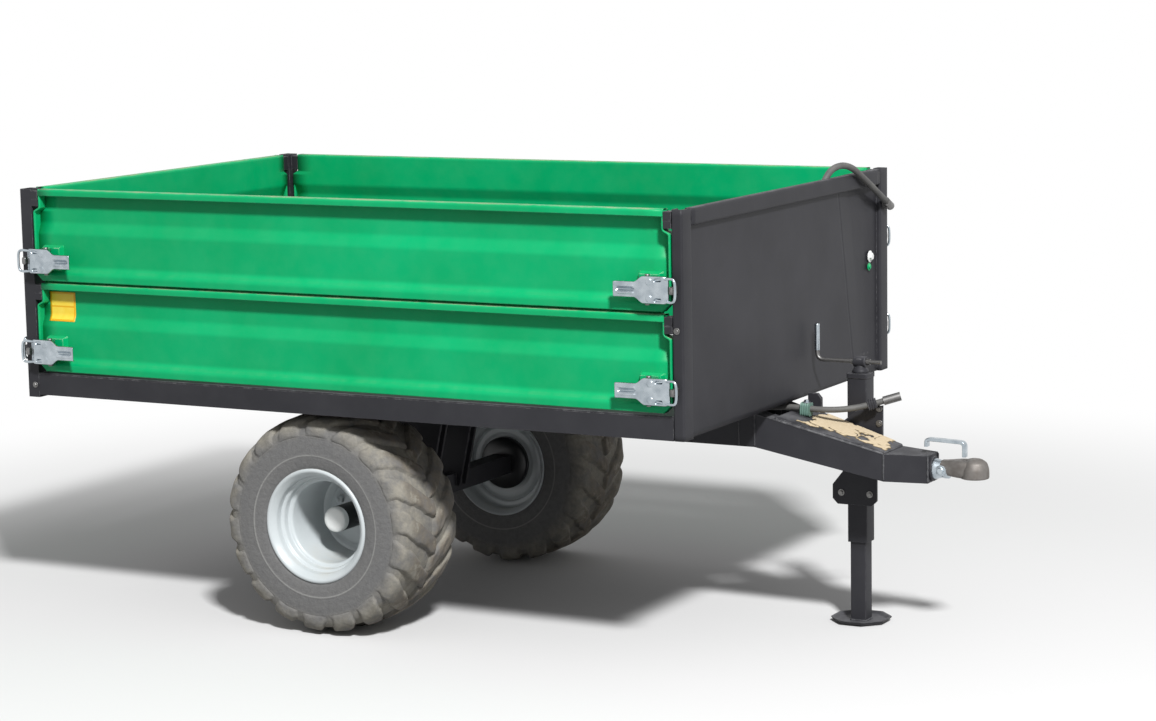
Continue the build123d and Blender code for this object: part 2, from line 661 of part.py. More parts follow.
def drawbar_low(x):
    return along_drawbar(x, RAIL_BOTTOM, RAIL_TOP - DRAWBAR_DROP - DRAWBAR_END_HEIGHT)


def drawbar():
    """Drawbar from the kink down to its nose: two side rails, the tapered nose box and a top plate."""
    nose_low, nose_high = drawbar_low(NOSE_X), drawbar_high(NOSE_X)
    with BuildPart() as rails:
        with BuildSketch(Plane.XY.offset(nose_low - NOSE_RISE)):
            for side in (-1, 1):
                with BuildLine():
                    Polyline(
                        (KINK_X, side * RAIL_IN), (KINK_X, side * RAIL_OUT), (NOSE_X, side * NOSE_HALF_WIDTH),
                        (NOSE_END_X, side * NOSE_END_HALF_WIDTH), (NOSE_END_X, 0), (NOSE_X, 0),
                        (NOSE_X, side * DRAWBAR_INNER), close=True,
                    )
                make_face()
        extrude(amount=RAIL_TOP - nose_low + NOSE_RISE)
        with BuildSketch(Plane.XZ.offset(-RAIL_OUT)):
            with BuildLine():
                Polyline(
                    (KINK_X, RAIL_BOTTOM), (NOSE_X, nose_low), (NOSE_END_X, nose_low - NOSE_RISE),
                    (NOSE_END_X, nose_high - NOSE_RISE), (NOSE_X, nose_high), (KINK_X, RAIL_TOP), close=True,
                )
            make_face()
        extrude(amount=2 * RAIL_OUT, mode=Mode.INTERSECT)
    save(rails.part, "drawbar")
    start = KINK_X + PLATE_SETBACK
    edge = DRAWBAR_PLATE / 2
    with BuildPart() as plate:
        with BuildSketch(Plane.XY.offset(nose_high)):
            with BuildLine():
                Polyline(
                    (start, drawbar_side(start) - edge), (NOSE_X, NOSE_HALF_WIDTH - edge),
                    (NOSE_X, edge - NOSE_HALF_WIDTH), (start, edge - drawbar_side(start)), close=True,
                )
            make_face()
        extrude(amount=RAIL_TOP + DRAWBAR_PLATE - nose_high)
        with BuildSketch(Plane.XZ.offset(-RAIL_OUT)):
            with BuildLine():
                Polyline(
                    (start, drawbar_high(start)), (NOSE_X, nose_high),
                    (NOSE_X, above_plate(NOSE_X)), (start, above_plate(start)), close=True,
                )
            make_face()
        extrude(amount=2 * RAIL_OUT, mode=Mode.INTERSECT)
    save(plate.part, "drawbar_plate")


def above_plate(x):
    """Upper face of the drawbar's top plate."""
    return drawbar_high(x) + DRAWBAR_PLATE


def coupling():
    """Ball coupling on its round shank, and the release handle above it."""
    neck_x = BALL_X - 90
    head_low = BALL_HEIGHT - 20
    head_top = BALL_HEIGHT + 38
    with BuildPart() as head:
        with BuildSketch(Plane.YZ.offset(NOSE_END_X)):
            with Locations((0, BALL_HEIGHT)):
                Circle(SHANK_RADIUS)
        extrude(amount=neck_x - NOSE_END_X)
        with BuildSketch(Plane.XY.offset(head_low)):
            with Locations((BALL_X, 0)):
                Circle(COUPLING_SHELL)
            with BuildLine():
                Polyline((neck_x, -COUPLING_NECK), (BALL_X, -COUPLING_SHELL), (BALL_X, COUPLING_SHELL),
                         (neck_x, COUPLING_NECK), close=True)
            make_face()
        extrude(amount=head_top - head_low)
        with BuildSketch(Plane.XY.offset(head_low)):
            with Locations((BALL_X, 0)):
                Circle(BALL_RADIUS)
        extrude(amount=BALL_HEIGHT + BALL_RADIUS - 5 - head_low, mode=Mode.SUBTRACT)
    save(head.part, "coupling_head")
    handle_z = BALL_HEIGHT + 85
    with BuildPart() as handle:
        with BuildSketch(Plane.XZ.offset(-HANDLE_WIDTH / 2)):
            with BuildLine():
                Polyline((NOSE_END_X - 18, handle_z - 24), (NOSE_END_X - 18, handle_z),
                         (BALL_X - 32, handle_z - 4), (BALL_X - 32, head_top))
            trace(line_width=HANDLE_PLATE)
        extrude(amount=HANDLE_WIDTH)
        with BuildSketch(Plane.XY.offset(head_top - HANDLE_PLATE)):
            with Locations((BALL_X - 32, 0)):
                Rectangle(2 * HANDLE_WIDTH, 2 * HANDLE_WIDTH)
        extrude(amount=HANDLE_PLATE, mode=Mode.SUBTRACT)
    save(handle.part, "coupling_handle")


def jack():
    """Jack beside the drawbar: outer tube, gear cap with crank, mounting bracket and the leg with its foot."""
    low = drawbar_low(JACK_X)
    high = drawbar_high(JACK_X)
    with BuildPart() as tube:
        with BuildSketch(Plane.XY.offset(JACK_TUBE_BOTTOM)):
            with Locations((JACK_X, JACK_Y)):
                Rectangle(JACK_TUBE, JACK_TUBE)
                Rectangle(JACK_TUBE - 2 * JACK_WALL, JACK_TUBE - 2 * JACK_WALL, mode=Mode.SUBTRACT)
        extrude(amount=JACK_TOP - JACK_TUBE_BOTTOM)
        with BuildSketch(Plane.XY.offset(JACK_TOP)):
            with Locations((JACK_X, JACK_Y)):
                Rectangle(JACK_TUBE - 14, JACK_TUBE - 14)
        extrude(amount=GEAR_HEAD)
        with BuildSketch(Plane.XY.offset(JACK_TOP)):
            with Locations((JACK_X, JACK_Y)):
                Rectangle(JACK_TUBE + 4, JACK_TUBE + 4)
        extrude(amount=10)
    save(tube.part, "jack_tube")
    crank_z = JACK_TOP + CRANK_RISE
    head_face = JACK_X - JACK_TUBE / 2 + 7
    with BuildPart() as crank:
        with BuildSketch(Plane.YZ.offset(head_face)):
            with Locations((JACK_Y, crank_z)):
                Rectangle(2 * CRANK_RADIUS, 2 * CRANK_RADIUS)
        extrude(amount=JACK_X - CRANK_ARM + CRANK_RADIUS - head_face)
        with BuildSketch(Plane.XY.offset(crank_z - CRANK_RADIUS)):
            with Locations((JACK_X - CRANK_ARM, JACK_Y)):
                Rectangle(2 * CRANK_RADIUS, 2 * CRANK_RADIUS)
        extrude(amount=2 * CRANK_RADIUS)
        with BuildSketch(Plane.XY.offset(crank_z + CRANK_RADIUS)):
            with Locations((JACK_X - CRANK_ARM, JACK_Y)):
                Circle(CRANK_RADIUS)
        extrude(amount=CRANK_HANDLE)
    save(crank.part, "jack_crank")
    with BuildPart() as bracket:
        with BuildSketch(Plane.XZ.offset(-BRACKET_Y - BRACKET_PLATE)):
            with BuildLine():
                Polyline(
                    (JACK_X - 58, low - 148), (JACK_X + 50, low - 148), (JACK_X + 66, low - 132),
                    (JACK_X + 66, low - 70), (JACK_X + 85, low - 30), (JACK_X + 85, high + 66),
                    (JACK_X, high + 44), (JACK_X - 42, high + 10), (JACK_X - 42, low - 50),
                    (JACK_X - 74, low - 90), (JACK_X - 74, low - 132), close=True,
                )
            make_face()
        extrude(amount=BRACKET_PLATE)
        with BuildSketch(Plane.XY.offset(low + 13)):
            with BuildLine():
                Polyline(
                    (BRACKET_REAR, drawbar_side(BRACKET_REAR)), (JACK_X + 75, drawbar_side(JACK_X + 75)),
                    (JACK_X + 75, BRACKET_Y + 1), (BRACKET_REAR, BRACKET_Y + 1), close=True,
                )
            make_face()
        extrude(amount=50)
    save(bracket.part, "jack_bracket")
    leg_top = JACK_TOP - JACK_TRAVEL - 10
    with BuildPart() as leg:
        with BuildSketch(Plane.XY):
            with Locations((JACK_X, JACK_Y)):
                RegularPolygon(FOOT_SIZE / 2 - FOOT_EDGE, 8, major_radius=False, rotation=22.5)
        extrude(amount=FOOT_EDGE, taper=-45)
        with BuildSketch(Plane.XY.offset(FOOT_PLATE)):
            with Locations((JACK_X, JACK_Y)):
                RegularPolygon(FOOT_SIZE / 2 - FOOT_EDGE - 2, 8, major_radius=False, rotation=22.5)
        extrude(amount=FOOT_EDGE - FOOT_PLATE, taper=-45, mode=Mode.SUBTRACT)
        with BuildSketch(Plane.XY.offset(FOOT_PLATE)):
            with Locations((JACK_X, JACK_Y)):
                Rectangle(JACK_LEG, JACK_LEG)
        extrude(amount=leg_top - FOOT_PLATE)
    save(leg.part, "jack_leg")


AXLE_LINE = Axis((AXLE_X, 0, AXLE_Z), (0, 1, 0))


def across_wheel(out):
    """Plane square to the left wheel's axis, at a distance outwards from the tyre's centre."""
    return Plane(origin=(AXLE_X, WHEEL_Y + out, AXLE_Z), x_dir=(1, 0, 0), z_dir=(0, 1, 0))


def tyre():
    """Carcass with one flat for each lug, and a tractor lug from each shoulder past the centre line."""
    half = TYRE_WIDTH / 2
    carcass = TYRE_RADIUS - LUG_HEIGHT
    tread = half - SHOULDER_DROP
    with BuildPart() as body:
        for out, amount, taper in ((-tread, 2 * tread, 0), (tread, SHOULDER_DROP, 45), (-tread, -SHOULDER_DROP, 45)):
            with BuildSketch(across_wheel(out)):
                RegularPolygon(carcass, 2 * LUGS_PER_SIDE)
            extrude(amount=amount, taper=taper)
        with BuildSketch(across_wheel(-half)):
            Circle(RIM_SEAT_RADIUS)
        extrude(amount=TYRE_WIDTH, mode=Mode.SUBTRACT)
    # a lug's flat top lies so that its far corners meet the tyre's outer radius
    tail = LUG_SWEEP / 2 + LUG_SHOULDER / 2
    crest = (TYRE_RADIUS ** 2 - tail ** 2) ** 0.5
    lugs = []
    for side, shift in ((-1, 0.0), (1, 0.5)):
        outer = WHEEL_Y + side * (half - LUG_INSET)
        inner = WHEEL_Y - side * LUG_OVERLAP
        with BuildPart() as lug:
            with BuildSketch(Plane.XY.offset(AXLE_Z + carcass - LUG_HEIGHT)):
                with BuildLine():
                    Polyline(
                        (AXLE_X - tail, outer), (AXLE_X - tail + LUG_SHOULDER, outer),
                        (AXLE_X + tail, inner), (AXLE_X + tail - LUG_CENTRE, inner), close=True,
                    )
                make_face()
            extrude(amount=crest - carcass + LUG_HEIGHT)
            with BuildSketch(Plane.YZ.offset(AXLE_X - 2 * tail)):
                with BuildLine():
                    Polyline(
                        (outer - side * LUG_SLANT, AXLE_Z + crest), (outer + side, AXLE_Z + crest),
                        (outer + side, AXLE_Z + carcass - SHOULDER_DROP + 2), close=True,
                    )
                make_face()
            extrude(amount=4 * tail, mode=Mode.SUBTRACT)
        for index in range(LUGS_PER_SIDE):
            lugs.append(lug.part.rotate(AXLE_LINE, (index + shift) * 360 / LUGS_PER_SIDE))
    return body.part.fuse(*lugs)


def rim():
    """Turned rim with a flange against each side of the tyre, a stepped outer face and a deep disc."""
    half = TYRE_WIDTH / 2
    step = half - SEAT_LENGTH
    with BuildPart() as body:
        for start, end, radius in (
            (-half - RIM_SHEET, -half, RIM_FLANGE_RADIUS),
            (-half, half, RIM_SEAT_RADIUS),
            (half, half + RIM_SHEET, RIM_FLANGE_RADIUS),
        ):
            with BuildSketch(across_wheel(start)):
                Circle(radius)
            extrude(amount=end - start)
        for start, end, radius in (
            (step, half + RIM_SHEET, RIM_SEAT_RADIUS - RIM_SHEET),
            (DISC_PLATE / 2 - DISC_INSET, step, RIM_WELL_RADIUS),
            (-DISC_INSET - DISC_PLATE / 2, DISC_PLATE / 2 - DISC_INSET, HUB_RADIUS + 2),
            (-half - RIM_SHEET, -DISC_INSET - DISC_PLATE / 2, RIM_WELL_RADIUS),
        ):
            with BuildSketch(across_wheel(start)):
                Circle(radius)
            extrude(amount=end - start, mode=Mode.SUBTRACT)
    return body.part


def hub():
    """Hub with a ten-sided flange behind the disc and a long barrel out to its cap."""
    end = HUB_REACH - DISC_INSET
    back = HUB_BACK - WHEEL_Y
    with BuildPart() as body:
        with BuildSketch(across_wheel(back)):
            RegularPolygon(HUB_FLANGE_RADIUS, 10)
        extrude(amount=HUB_FLANGE)
        with BuildSketch(across_wheel(back)):
            Circle(HUB_RADIUS)
        extrude(amount=end - back)
        with BuildSketch(across_wheel(back)):
            Circle(STUB_RADIUS + TURNING_GAP)
        extrude(amount=end - HUB_CAP - back, mode=Mode.SUBTRACT)
    return body.part


def wheels():
    """Both wheels, each of a tyre, a rim and a hub."""
    for name, piece in (("tyre", tyre()), ("rim", rim()), ("hub", hub())):
        save(piece, f"left_{name}")
        save(mirror(piece, about=Plane.XZ), f"right_{name}")


def tip_cylinder():
    """Hydraulic cylinder lying between the rails, retracted."""
    base = Vector(BASE_X, 0, BASE_Z)
    run = Vector(EYE_X, 0, EYE_Z) - base
    along = run.normalized()

    def across(distance):
        """Plane square to the cylinder at a distance from its base pin."""
        return Plane(origin=base + along * distance, x_dir=(0, 1, 0), z_dir=along)

    barrel_start = 20
    with BuildPart() as barrel:
        with BuildSketch(across(barrel_start)):
            Circle(BARREL_RADIUS)
        extrude(amount=run.length - 70 - barrel_start)
        with BuildSketch(Plane.XZ.offset(-BASE_EYE_HALF)):
            with Locations((BASE_X, BASE_Z)):
                Circle(28)
        extrude(amount=2 * BASE_EYE_HALF)
        with BuildSketch(Plane.XZ.offset(-BASE_EYE_HALF)):
            with Locations((BASE_X, BASE_Z)):
                Circle(PIN_RADIUS + ROD_GAP)
        extrude(amount=2 * BASE_EYE_HALF, mode=Mode.SUBTRACT)
        with BuildSketch(across(60)):
            Circle(ROD_RADIUS + ROD_GAP)
        extrude(amount=run.length, mode=Mode.SUBTRACT)
    save(barrel.part, "cylinder_barrel")
    with BuildPart() as rod:
        with BuildSketch(across(120)):
            Circle(ROD_RADIUS)
        extrude(amount=run.length - 120 - ROD_RADIUS)
        with BuildSketch(Plane.XZ.offset(-ROD_EYE_HALF)):
            with Locations((EYE_X, EYE_Z)):
                Circle(24)
        extrude(amount=2 * ROD_EYE_HALF)
    save(rod.part, "cylinder_rod")


def hose_path(points, bend):
    """Straight runs joined by arcs of the bend radius, or as large as the runs allow."""
    places = [Vector(*point) for point in points]
    radii = []
    for before, here, after in zip(places, places[1:], places[2:]):
        turn = (here - before).get_angle(after - here)
        run = min((here - before).length, (after - here).length)
        radii.append(min(bend, 0.45 * run / tan(radians(turn / 2))))
    return FilletPolyline(*places, radius=radii)


def hose(points, radius):
    """Hose of one radius along its route."""
    with BuildPart() as tube:
        with BuildLine() as line:
            hose_path(points, HOSE_BEND * radius)
        start = Plane(origin=line.line @ 0, z_dir=line.line % 0)
        with BuildSketch(start):
            Circle(radius)
        sweep(path=line.line)
    return tube.part


def rod_between(start, end, radius):
    """Round rod from one point to another."""
    start = Vector(*start)
    run = Vector(*end) - start
    with BuildPart() as rod:
        with BuildSketch(Plane(origin=start, z_dir=run.normalized())):
            Circle(radius)
        extrude(amount=run.length)
    return rod.part


def beyond(inner, end, distance):
    """The point past end, in line with inner and end."""
    end = Vector(*end)
    return tuple(end + (end - Vector(*inner)).normalized() * distance)


def clip(centre, along, length, base, radius):
    """Clamp block round a hose: its hole follows the hose, and base is the outline of its foot."""
    hole = rod_between(Vector(*centre) - along * length, Vector(*centre) + along * length, radius)
    return base - hole


def drawbar_hose():
    """Hydraulic hose from a bulkhead nipple over the drawbar to its parked quick coupling."""
    route = DRAWBAR_HOSE
    save(hose(route, HOSE_RADIUS), "drawbar_hose")
    nipple = rod_between((HOSE_BULKHEAD_X + CROSS_TUBE / 2, route[0][1], route[0][2]), route[0], HOSE_RADIUS + 3)
    plug_end = beyond(route[-2], route[-1], HOSE_PLUG)
    plug = rod_between(route[-1], plug_end, HOSE_RADIUS + 4)
    save(Compound(children=[nipple, plug]), "hose_fittings")
    # first clip stands on the drawbar's top plate, the second is bolted to the jack's bracket
    start, end = Vector(*route[3]), Vector(*route[4])
    middle = start + (end - start) * 0.5
    reach = HOSE_RADIUS + CLIP_WALL
    with BuildPart() as saddle:
        with BuildSketch(Plane.XZ.offset(-middle.Y - reach)):
            with BuildLine():
                Polyline(
                    (middle.X - 14, above_plate(middle.X - 14)), (middle.X + 14, above_plate(middle.X + 14)),
                    (middle.X + 14, middle.Z + reach), (middle.X - 14, middle.Z + reach), close=True,
                )
            make_face()
        extrude(amount=2 * reach)
    first = clip(middle, (end - start).normalized(), 60, saddle.part, HOSE_RADIUS)
    start, end = Vector(*route[-2]), Vector(*route[-1])
    middle = start + (end - start) * 0.6
    block = bar(middle.X - 9, middle.X + 9, middle.Y - reach, BRACKET_Y, middle.Z - reach - 2, middle.Z + reach + 2)
    second = clip(middle, (end - start).normalized(), 60, block, HOSE_RADIUS)
    save(Compound(children=[first, second]), "hose_clips")


def front_hose():
    """Hose over the front board's lip, from a socket on its inner face to a plug clipped outside."""
    route = FRONT_HOSE
    radius = FRONT_HOSE_RADIUS
    save(hose(route, radius), "front_hose")
    foot = route[0]
    socket = rod_between(beyond(route[1], foot, 34), foot, radius + 4)
    socket = socket.fuse(bar(foot[0], INNER_FRONT, foot[1] - 12, foot[1] + 12, foot[2] - 30, foot[2] - 6))
    inner, end = route[-2], route[-1]
    plug = rod_between(end, beyond(inner, end, 46), radius + 3)
    middle = Vector(*beyond(inner, end, 22))
    block = bar(BED_FRONT, middle.X, middle.Y - 9, middle.Y + 9, middle.Z - 16, middle.Z + 16)
    holder = block - rod_between(end, beyond(inner, end, 60), radius + 3)
    save(Compound(children=[socket, plug.fuse(holder)]), "front_hose_fittings")


def bed_stop():
    """Plate welded on the drawbar that keeps the lowered bed in line."""
    rear = BED_FRONT + STOP_GAP
    front = rear + STOP_LENGTH
    top = BED_BOTTOM + STOP_RISE
    with BuildPart() as plate:
        with BuildSketch(Plane.XZ.offset(-STOP_SIDE)):
            with BuildLine():
                Polyline((rear, above_plate(rear)), (front, above_plate(front)), (front, top - STOP_CORNER_DROP),
                         (front - STOP_CORNER, top), (rear, top), close=True)
            make_face()
        extrude(amount=LUG_PLATE)
    save(plate.part, "bed_stop")


side_boards()
tailgate()
posts_and_catches()
front_board()
bed_frame()
bed_lugs()
chassis_frame()
rest_pads()
axle()
drawbar()
coupling()
jack()
wheels()
tip_cylinder()
drawbar_hose()
front_hose()
bed_stop()
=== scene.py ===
"""Blender scene of a single-axle tipping trailer with drop-down side boards, standing on its jack."""
import json
from math import cos, pi, sin

import bmesh
import bpy
import numpy as np
from mathutils import Matrix, Vector


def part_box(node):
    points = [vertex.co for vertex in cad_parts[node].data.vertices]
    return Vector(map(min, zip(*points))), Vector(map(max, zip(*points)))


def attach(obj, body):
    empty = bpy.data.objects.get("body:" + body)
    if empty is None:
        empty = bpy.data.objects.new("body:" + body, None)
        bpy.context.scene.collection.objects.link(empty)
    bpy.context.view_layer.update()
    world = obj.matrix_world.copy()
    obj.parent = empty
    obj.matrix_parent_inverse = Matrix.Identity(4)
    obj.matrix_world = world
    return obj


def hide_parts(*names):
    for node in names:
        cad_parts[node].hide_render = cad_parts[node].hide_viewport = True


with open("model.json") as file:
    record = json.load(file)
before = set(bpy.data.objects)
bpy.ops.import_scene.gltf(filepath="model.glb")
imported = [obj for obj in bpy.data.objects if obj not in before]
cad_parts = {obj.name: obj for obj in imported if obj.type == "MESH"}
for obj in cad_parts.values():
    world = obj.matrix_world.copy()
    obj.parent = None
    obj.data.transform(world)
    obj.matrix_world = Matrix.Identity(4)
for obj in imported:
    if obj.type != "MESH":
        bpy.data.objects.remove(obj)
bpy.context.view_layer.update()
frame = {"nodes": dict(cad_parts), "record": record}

# The camera: a long lens at the front right corner, at the photograph's angle.
# Places are measured in millimetres from the ground under the axle's middle: forward, left, up.

tyre_low, tyre_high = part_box("left_tyre")
AXLE = np.array([(tyre_low.x + tyre_high.x) / 2, 0.0, 0.0])


def place(points):
    """Metres in the shared frame of points in millimetres from the axle: p / 1000 + axle."""
    return np.asarray(points, float) * 0.001 + AXLE


YAW, PITCH, ROLL = 0.49552, 0.14582, -0.0181
FOCAL_PIXELS, PHOTO_WIDTH, SENSOR = 2906.84, 1156.0, 36.0
VIEWPOINT = (4667.07, -7682.54, 2037.86)


def camera_axes(yaw, pitch, roll):
    """Right, up and forward of a camera turned left by yaw, down by pitch, and then about its own line."""
    ahead = np.array([-sin(yaw), cos(yaw), 0.0])
    right = np.array([cos(yaw), sin(yaw), 0.0])
    up = np.array([0.0, 0.0, 1.0])
    forward = cos(pitch) * ahead - sin(pitch) * up
    above = sin(pitch) * ahead + cos(pitch) * up
    return cos(roll) * right + sin(roll) * above, -sin(roll) * right + cos(roll) * above, forward


right, above, forward = camera_axes(YAW, PITCH, ROLL)
camera_data = bpy.data.cameras.new("camera")
camera_data.sensor_width = SENSOR
camera_data.lens = FOCAL_PIXELS / PHOTO_WIDTH * SENSOR
camera = bpy.data.objects.new("camera", camera_data)
bpy.context.collection.objects.link(camera)
turn = Matrix(np.column_stack([right, above, -forward]).tolist()).to_4x4()
camera.matrix_world = Matrix.Translation(place(VIEWPOINT)) @ turn
bpy.context.scene.camera = camera


# Hydraulic hoses: rubber over steel braid. One runs along the drawbar to a parked quick coupling,
# the other comes out of the bed over the front wall and is held at its left corner post.

def linear(code):
    """Linear colour of an sRGB hex value: each share s becomes ((s + 0.055) / 1.055) ** 2.4."""
    share = np.array([int(code[i:i + 2], 16) / 255 for i in (1, 3, 5)])
    lifted = np.where(share <= 0.04045, share / 12.92, ((share + 0.055) / 1.055) ** 2.4)
    return (*lifted.tolist(), 1.0)


def node(tree, kind, inputs=None, **settings):
    """Adds one node with its settings, and fills or links its inputs."""
    made = tree.nodes.new(kind)
    for name, value in settings.items():
        setattr(made, name, value)
    for socket, value in (inputs or {}).items():
        if isinstance(value, bpy.types.NodeSocket):
            tree.links.new(value, made.inputs[socket])
        else:
            made.inputs[socket].default_value = value
    return made


def material(name):
    """A material with no nodes yet, as (material, its node tree)."""
    made = bpy.data.materials.new(name)
    made.use_nodes = True
    made.node_tree.nodes.clear()
    return made, made.node_tree


def hose_rubber():
    """Extruded nitrile rubber, dull and dusty, with the faint grain of the cloth it was cured in."""
    dust_patch, cloth = 35.7, 1.11  # Widths in millimetres.
    made, tree = material("hose_rubber")
    where = node(tree, "ShaderNodeTexCoord").outputs["Object"]
    dust = node(tree, "ShaderNodeTexNoise", {"Vector": where, "Scale": 1000 / dust_patch, "Detail": 5.0})
    colour = node(tree, "ShaderNodeMix", {0: dust.outputs["Fac"], 6: linear("#35363A"), 7: linear("#6E6D69")},
                  data_type="RGBA")
    grain = node(tree, "ShaderNodeTexNoise", {"Vector": where, "Scale": 1000 / cloth, "Detail": 2.0})
    bump = node(tree, "ShaderNodeBump",
                {"Height": grain.outputs["Fac"], "Strength": 0.25, "Distance": 0.0004})
    shader = node(tree, "ShaderNodeBsdfPrincipled", {
        "Base Color": colour.outputs[2], "Roughness": 0.62, "IOR": 1.52, "Specular IOR Level": 0.4,
        "Normal": bump.outputs["Normal"]})
    node(tree, "ShaderNodeOutputMaterial", {0: shader.outputs[0]})
    return made


def hose(name, node_name, body, route, radius, finish):
    """A round hose along a smooth NURBS line that has the route's points as its control points."""
    line = bpy.data.curves.new(name, "CURVE")
    line.dimensions = "3D"
    line.resolution_u = 10
    line.bevel_depth = radius
    line.bevel_resolution = 6
    line.use_fill_caps = True
    spline = line.splines.new("NURBS")
    spline.points.add(len(route) - 1)
    spline.points.foreach_set("co", np.column_stack([place(route), np.ones(len(route))]).ravel())
    spline.order_u = 3
    spline.use_endpoint_u = True
    line.materials.append(finish)
    made = bpy.data.objects.new(name, line)
    bpy.context.collection.objects.link(made)
    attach(made, body)
    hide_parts(node_name)
    return made


def hose_length(made):
    """Length of a hose's own line: the sum of |p[i + 1] - p[i]| over its fine points."""
    thin = made.copy()
    thin.data = made.data.copy()
    thin.data.bevel_depth = 0
    mesh = bpy.data.meshes.new_from_object(thin)
    points = np.empty(3 * len(mesh.vertices), np.float32)
    mesh.vertices.foreach_get("co", points)
    steps = np.diff(points.reshape(-1, 3).astype(float), axis=0)
    return float(np.linalg.norm(steps, axis=1).sum())


RUBBER = hose_rubber()
DRAWBAR_ROUTE = [
    (842, 20, 600), (950, 20, 600), (1085, 15, 641), (1200, 10, 655.5), (1330, 12, 650),
    (1410, 62, 655), (1474, 91, 675),
]
FRONT_ROUTE = [
    (1196, 250, 1120), (1195, 262, 1215), (1200, 318, 1322), (1232, 398, 1340), (1249, 505, 1280),
    (1246, 668, 1202),
]
drawbar_hose = hose("hose_along_drawbar", "drawbar_hose", "chassis", DRAWBAR_ROUTE, 0.009, RUBBER)
front_hose = hose("hose_over_front_wall", "front_hose", "bed", FRONT_ROUTE, 0.010, RUBBER)
hose_length(drawbar_hose)
hose_length(front_hose)


# Chassis, bed frame, axle and tipping cylinder: box section, folded channel and plate, welded and sprayed
# satin dark grey, kept as the solids they are. The boards' gloss green is the same enamel. Both are chipped
# pale along bare edges and dusty on upper faces, as enamel is after a season outdoors.

def enamel(name, paint, faded, edge, roughness, edge_wear, dust_amount, shine=0.5, dust="#B3A68E"):
    """Sprayed alkyd enamel: even colour with soft fading, pale worn edges, dust that settles from above.

    Orange peel is drawn 6 mm wide, where the real 2 mm is too fine to show.
    """
    fading, chips, drifts, orange_peel, worn_edge = 286, 22.2, 71.4, 6.25, 2.5  # Widths in millimetres.
    made, tree = material(name)
    where = node(tree, "ShaderNodeTexCoord").outputs["Object"]
    clouds = node(tree, "ShaderNodeTexNoise", {"Vector": where, "Scale": 1000 / fading, "Detail": 4.0})
    even = node(tree, "ShaderNodeMapRange", {0: clouds.outputs["Fac"], 1: 0.35, 2: 0.7, 3: 0.0, 4: 1.0})
    coat = node(tree, "ShaderNodeMix", {0: even.outputs[0], 6: linear(paint), 7: linear(faded)},
                data_type="RGBA")
    softened = node(tree, "ShaderNodeBevel", {"Radius": worn_edge / 1000}, samples=4)
    flat = node(tree, "ShaderNodeNewGeometry").outputs["Normal"]
    match = node(tree, "ShaderNodeVectorMath", {0: softened.outputs[0], 1: flat}, operation="DOT_PRODUCT")
    speckle = node(tree, "ShaderNodeTexNoise",
                   {"Vector": where, "Scale": 1000 / chips, "Detail": 6.0, "Roughness": 0.7})
    bare = node(tree, "ShaderNodeMapRange", {0: match.outputs["Value"], 1: 0.995, 2: 0.93, 3: 0.0, 4: 1.0})
    patchy = node(tree, "ShaderNodeMapRange",
                  {0: speckle.outputs["Fac"], 1: 0.42, 2: 0.62, 3: 0.0, 4: edge_wear})
    worn = node(tree, "ShaderNodeMath", {0: bare.outputs[0], 1: patchy.outputs[0]}, operation="MULTIPLY")
    chipped = node(tree, "ShaderNodeMix", {0: worn.outputs[0], 6: coat.outputs[2], 7: linear(edge)},
                   data_type="RGBA")
    up = node(tree, "ShaderNodeSeparateXYZ", {0: flat}).outputs["Z"]
    lying = node(tree, "ShaderNodeMapRange", {0: up, 1: 0.62, 2: 0.97, 3: 0.03, 4: 1.0})
    drift = node(tree, "ShaderNodeTexNoise",
                 {"Vector": where, "Scale": 1000 / drifts, "Detail": 8.0, "Roughness": 0.65})
    settled = node(tree, "ShaderNodeMapRange",
                   {0: drift.outputs["Fac"], 1: 0.38, 2: 0.68, 3: 0.0, 4: dust_amount})
    dusty = node(tree, "ShaderNodeMath", {0: lying.outputs[0], 1: settled.outputs[0]}, operation="MULTIPLY")
    colour = node(tree, "ShaderNodeMix", {0: dusty.outputs[0], 6: chipped.outputs[2], 7: linear(dust)},
                  data_type="RGBA")
    gloss = node(tree, "ShaderNodeMapRange", {0: dusty.outputs[0], 1: 0.0, 2: 1.0, 3: roughness, 4: 0.9})
    peel = node(tree, "ShaderNodeTexNoise", {"Vector": where, "Scale": 1000 / orange_peel, "Detail": 2.0})
    bump = node(tree, "ShaderNodeBump", {
        "Height": peel.outputs["Fac"], "Strength": 0.12, "Distance": 0.0006, "Normal": softened.outputs[0]})
    shader = node(tree, "ShaderNodeBsdfPrincipled", {
        "Base Color": colour.outputs[2], "Roughness": gloss.outputs[0], "IOR": 1.5,
        "Specular IOR Level": shine, "Normal": bump.outputs["Normal"]})
    node(tree, "ShaderNodeOutputMaterial", {0: shader.outputs[0]})
    return made


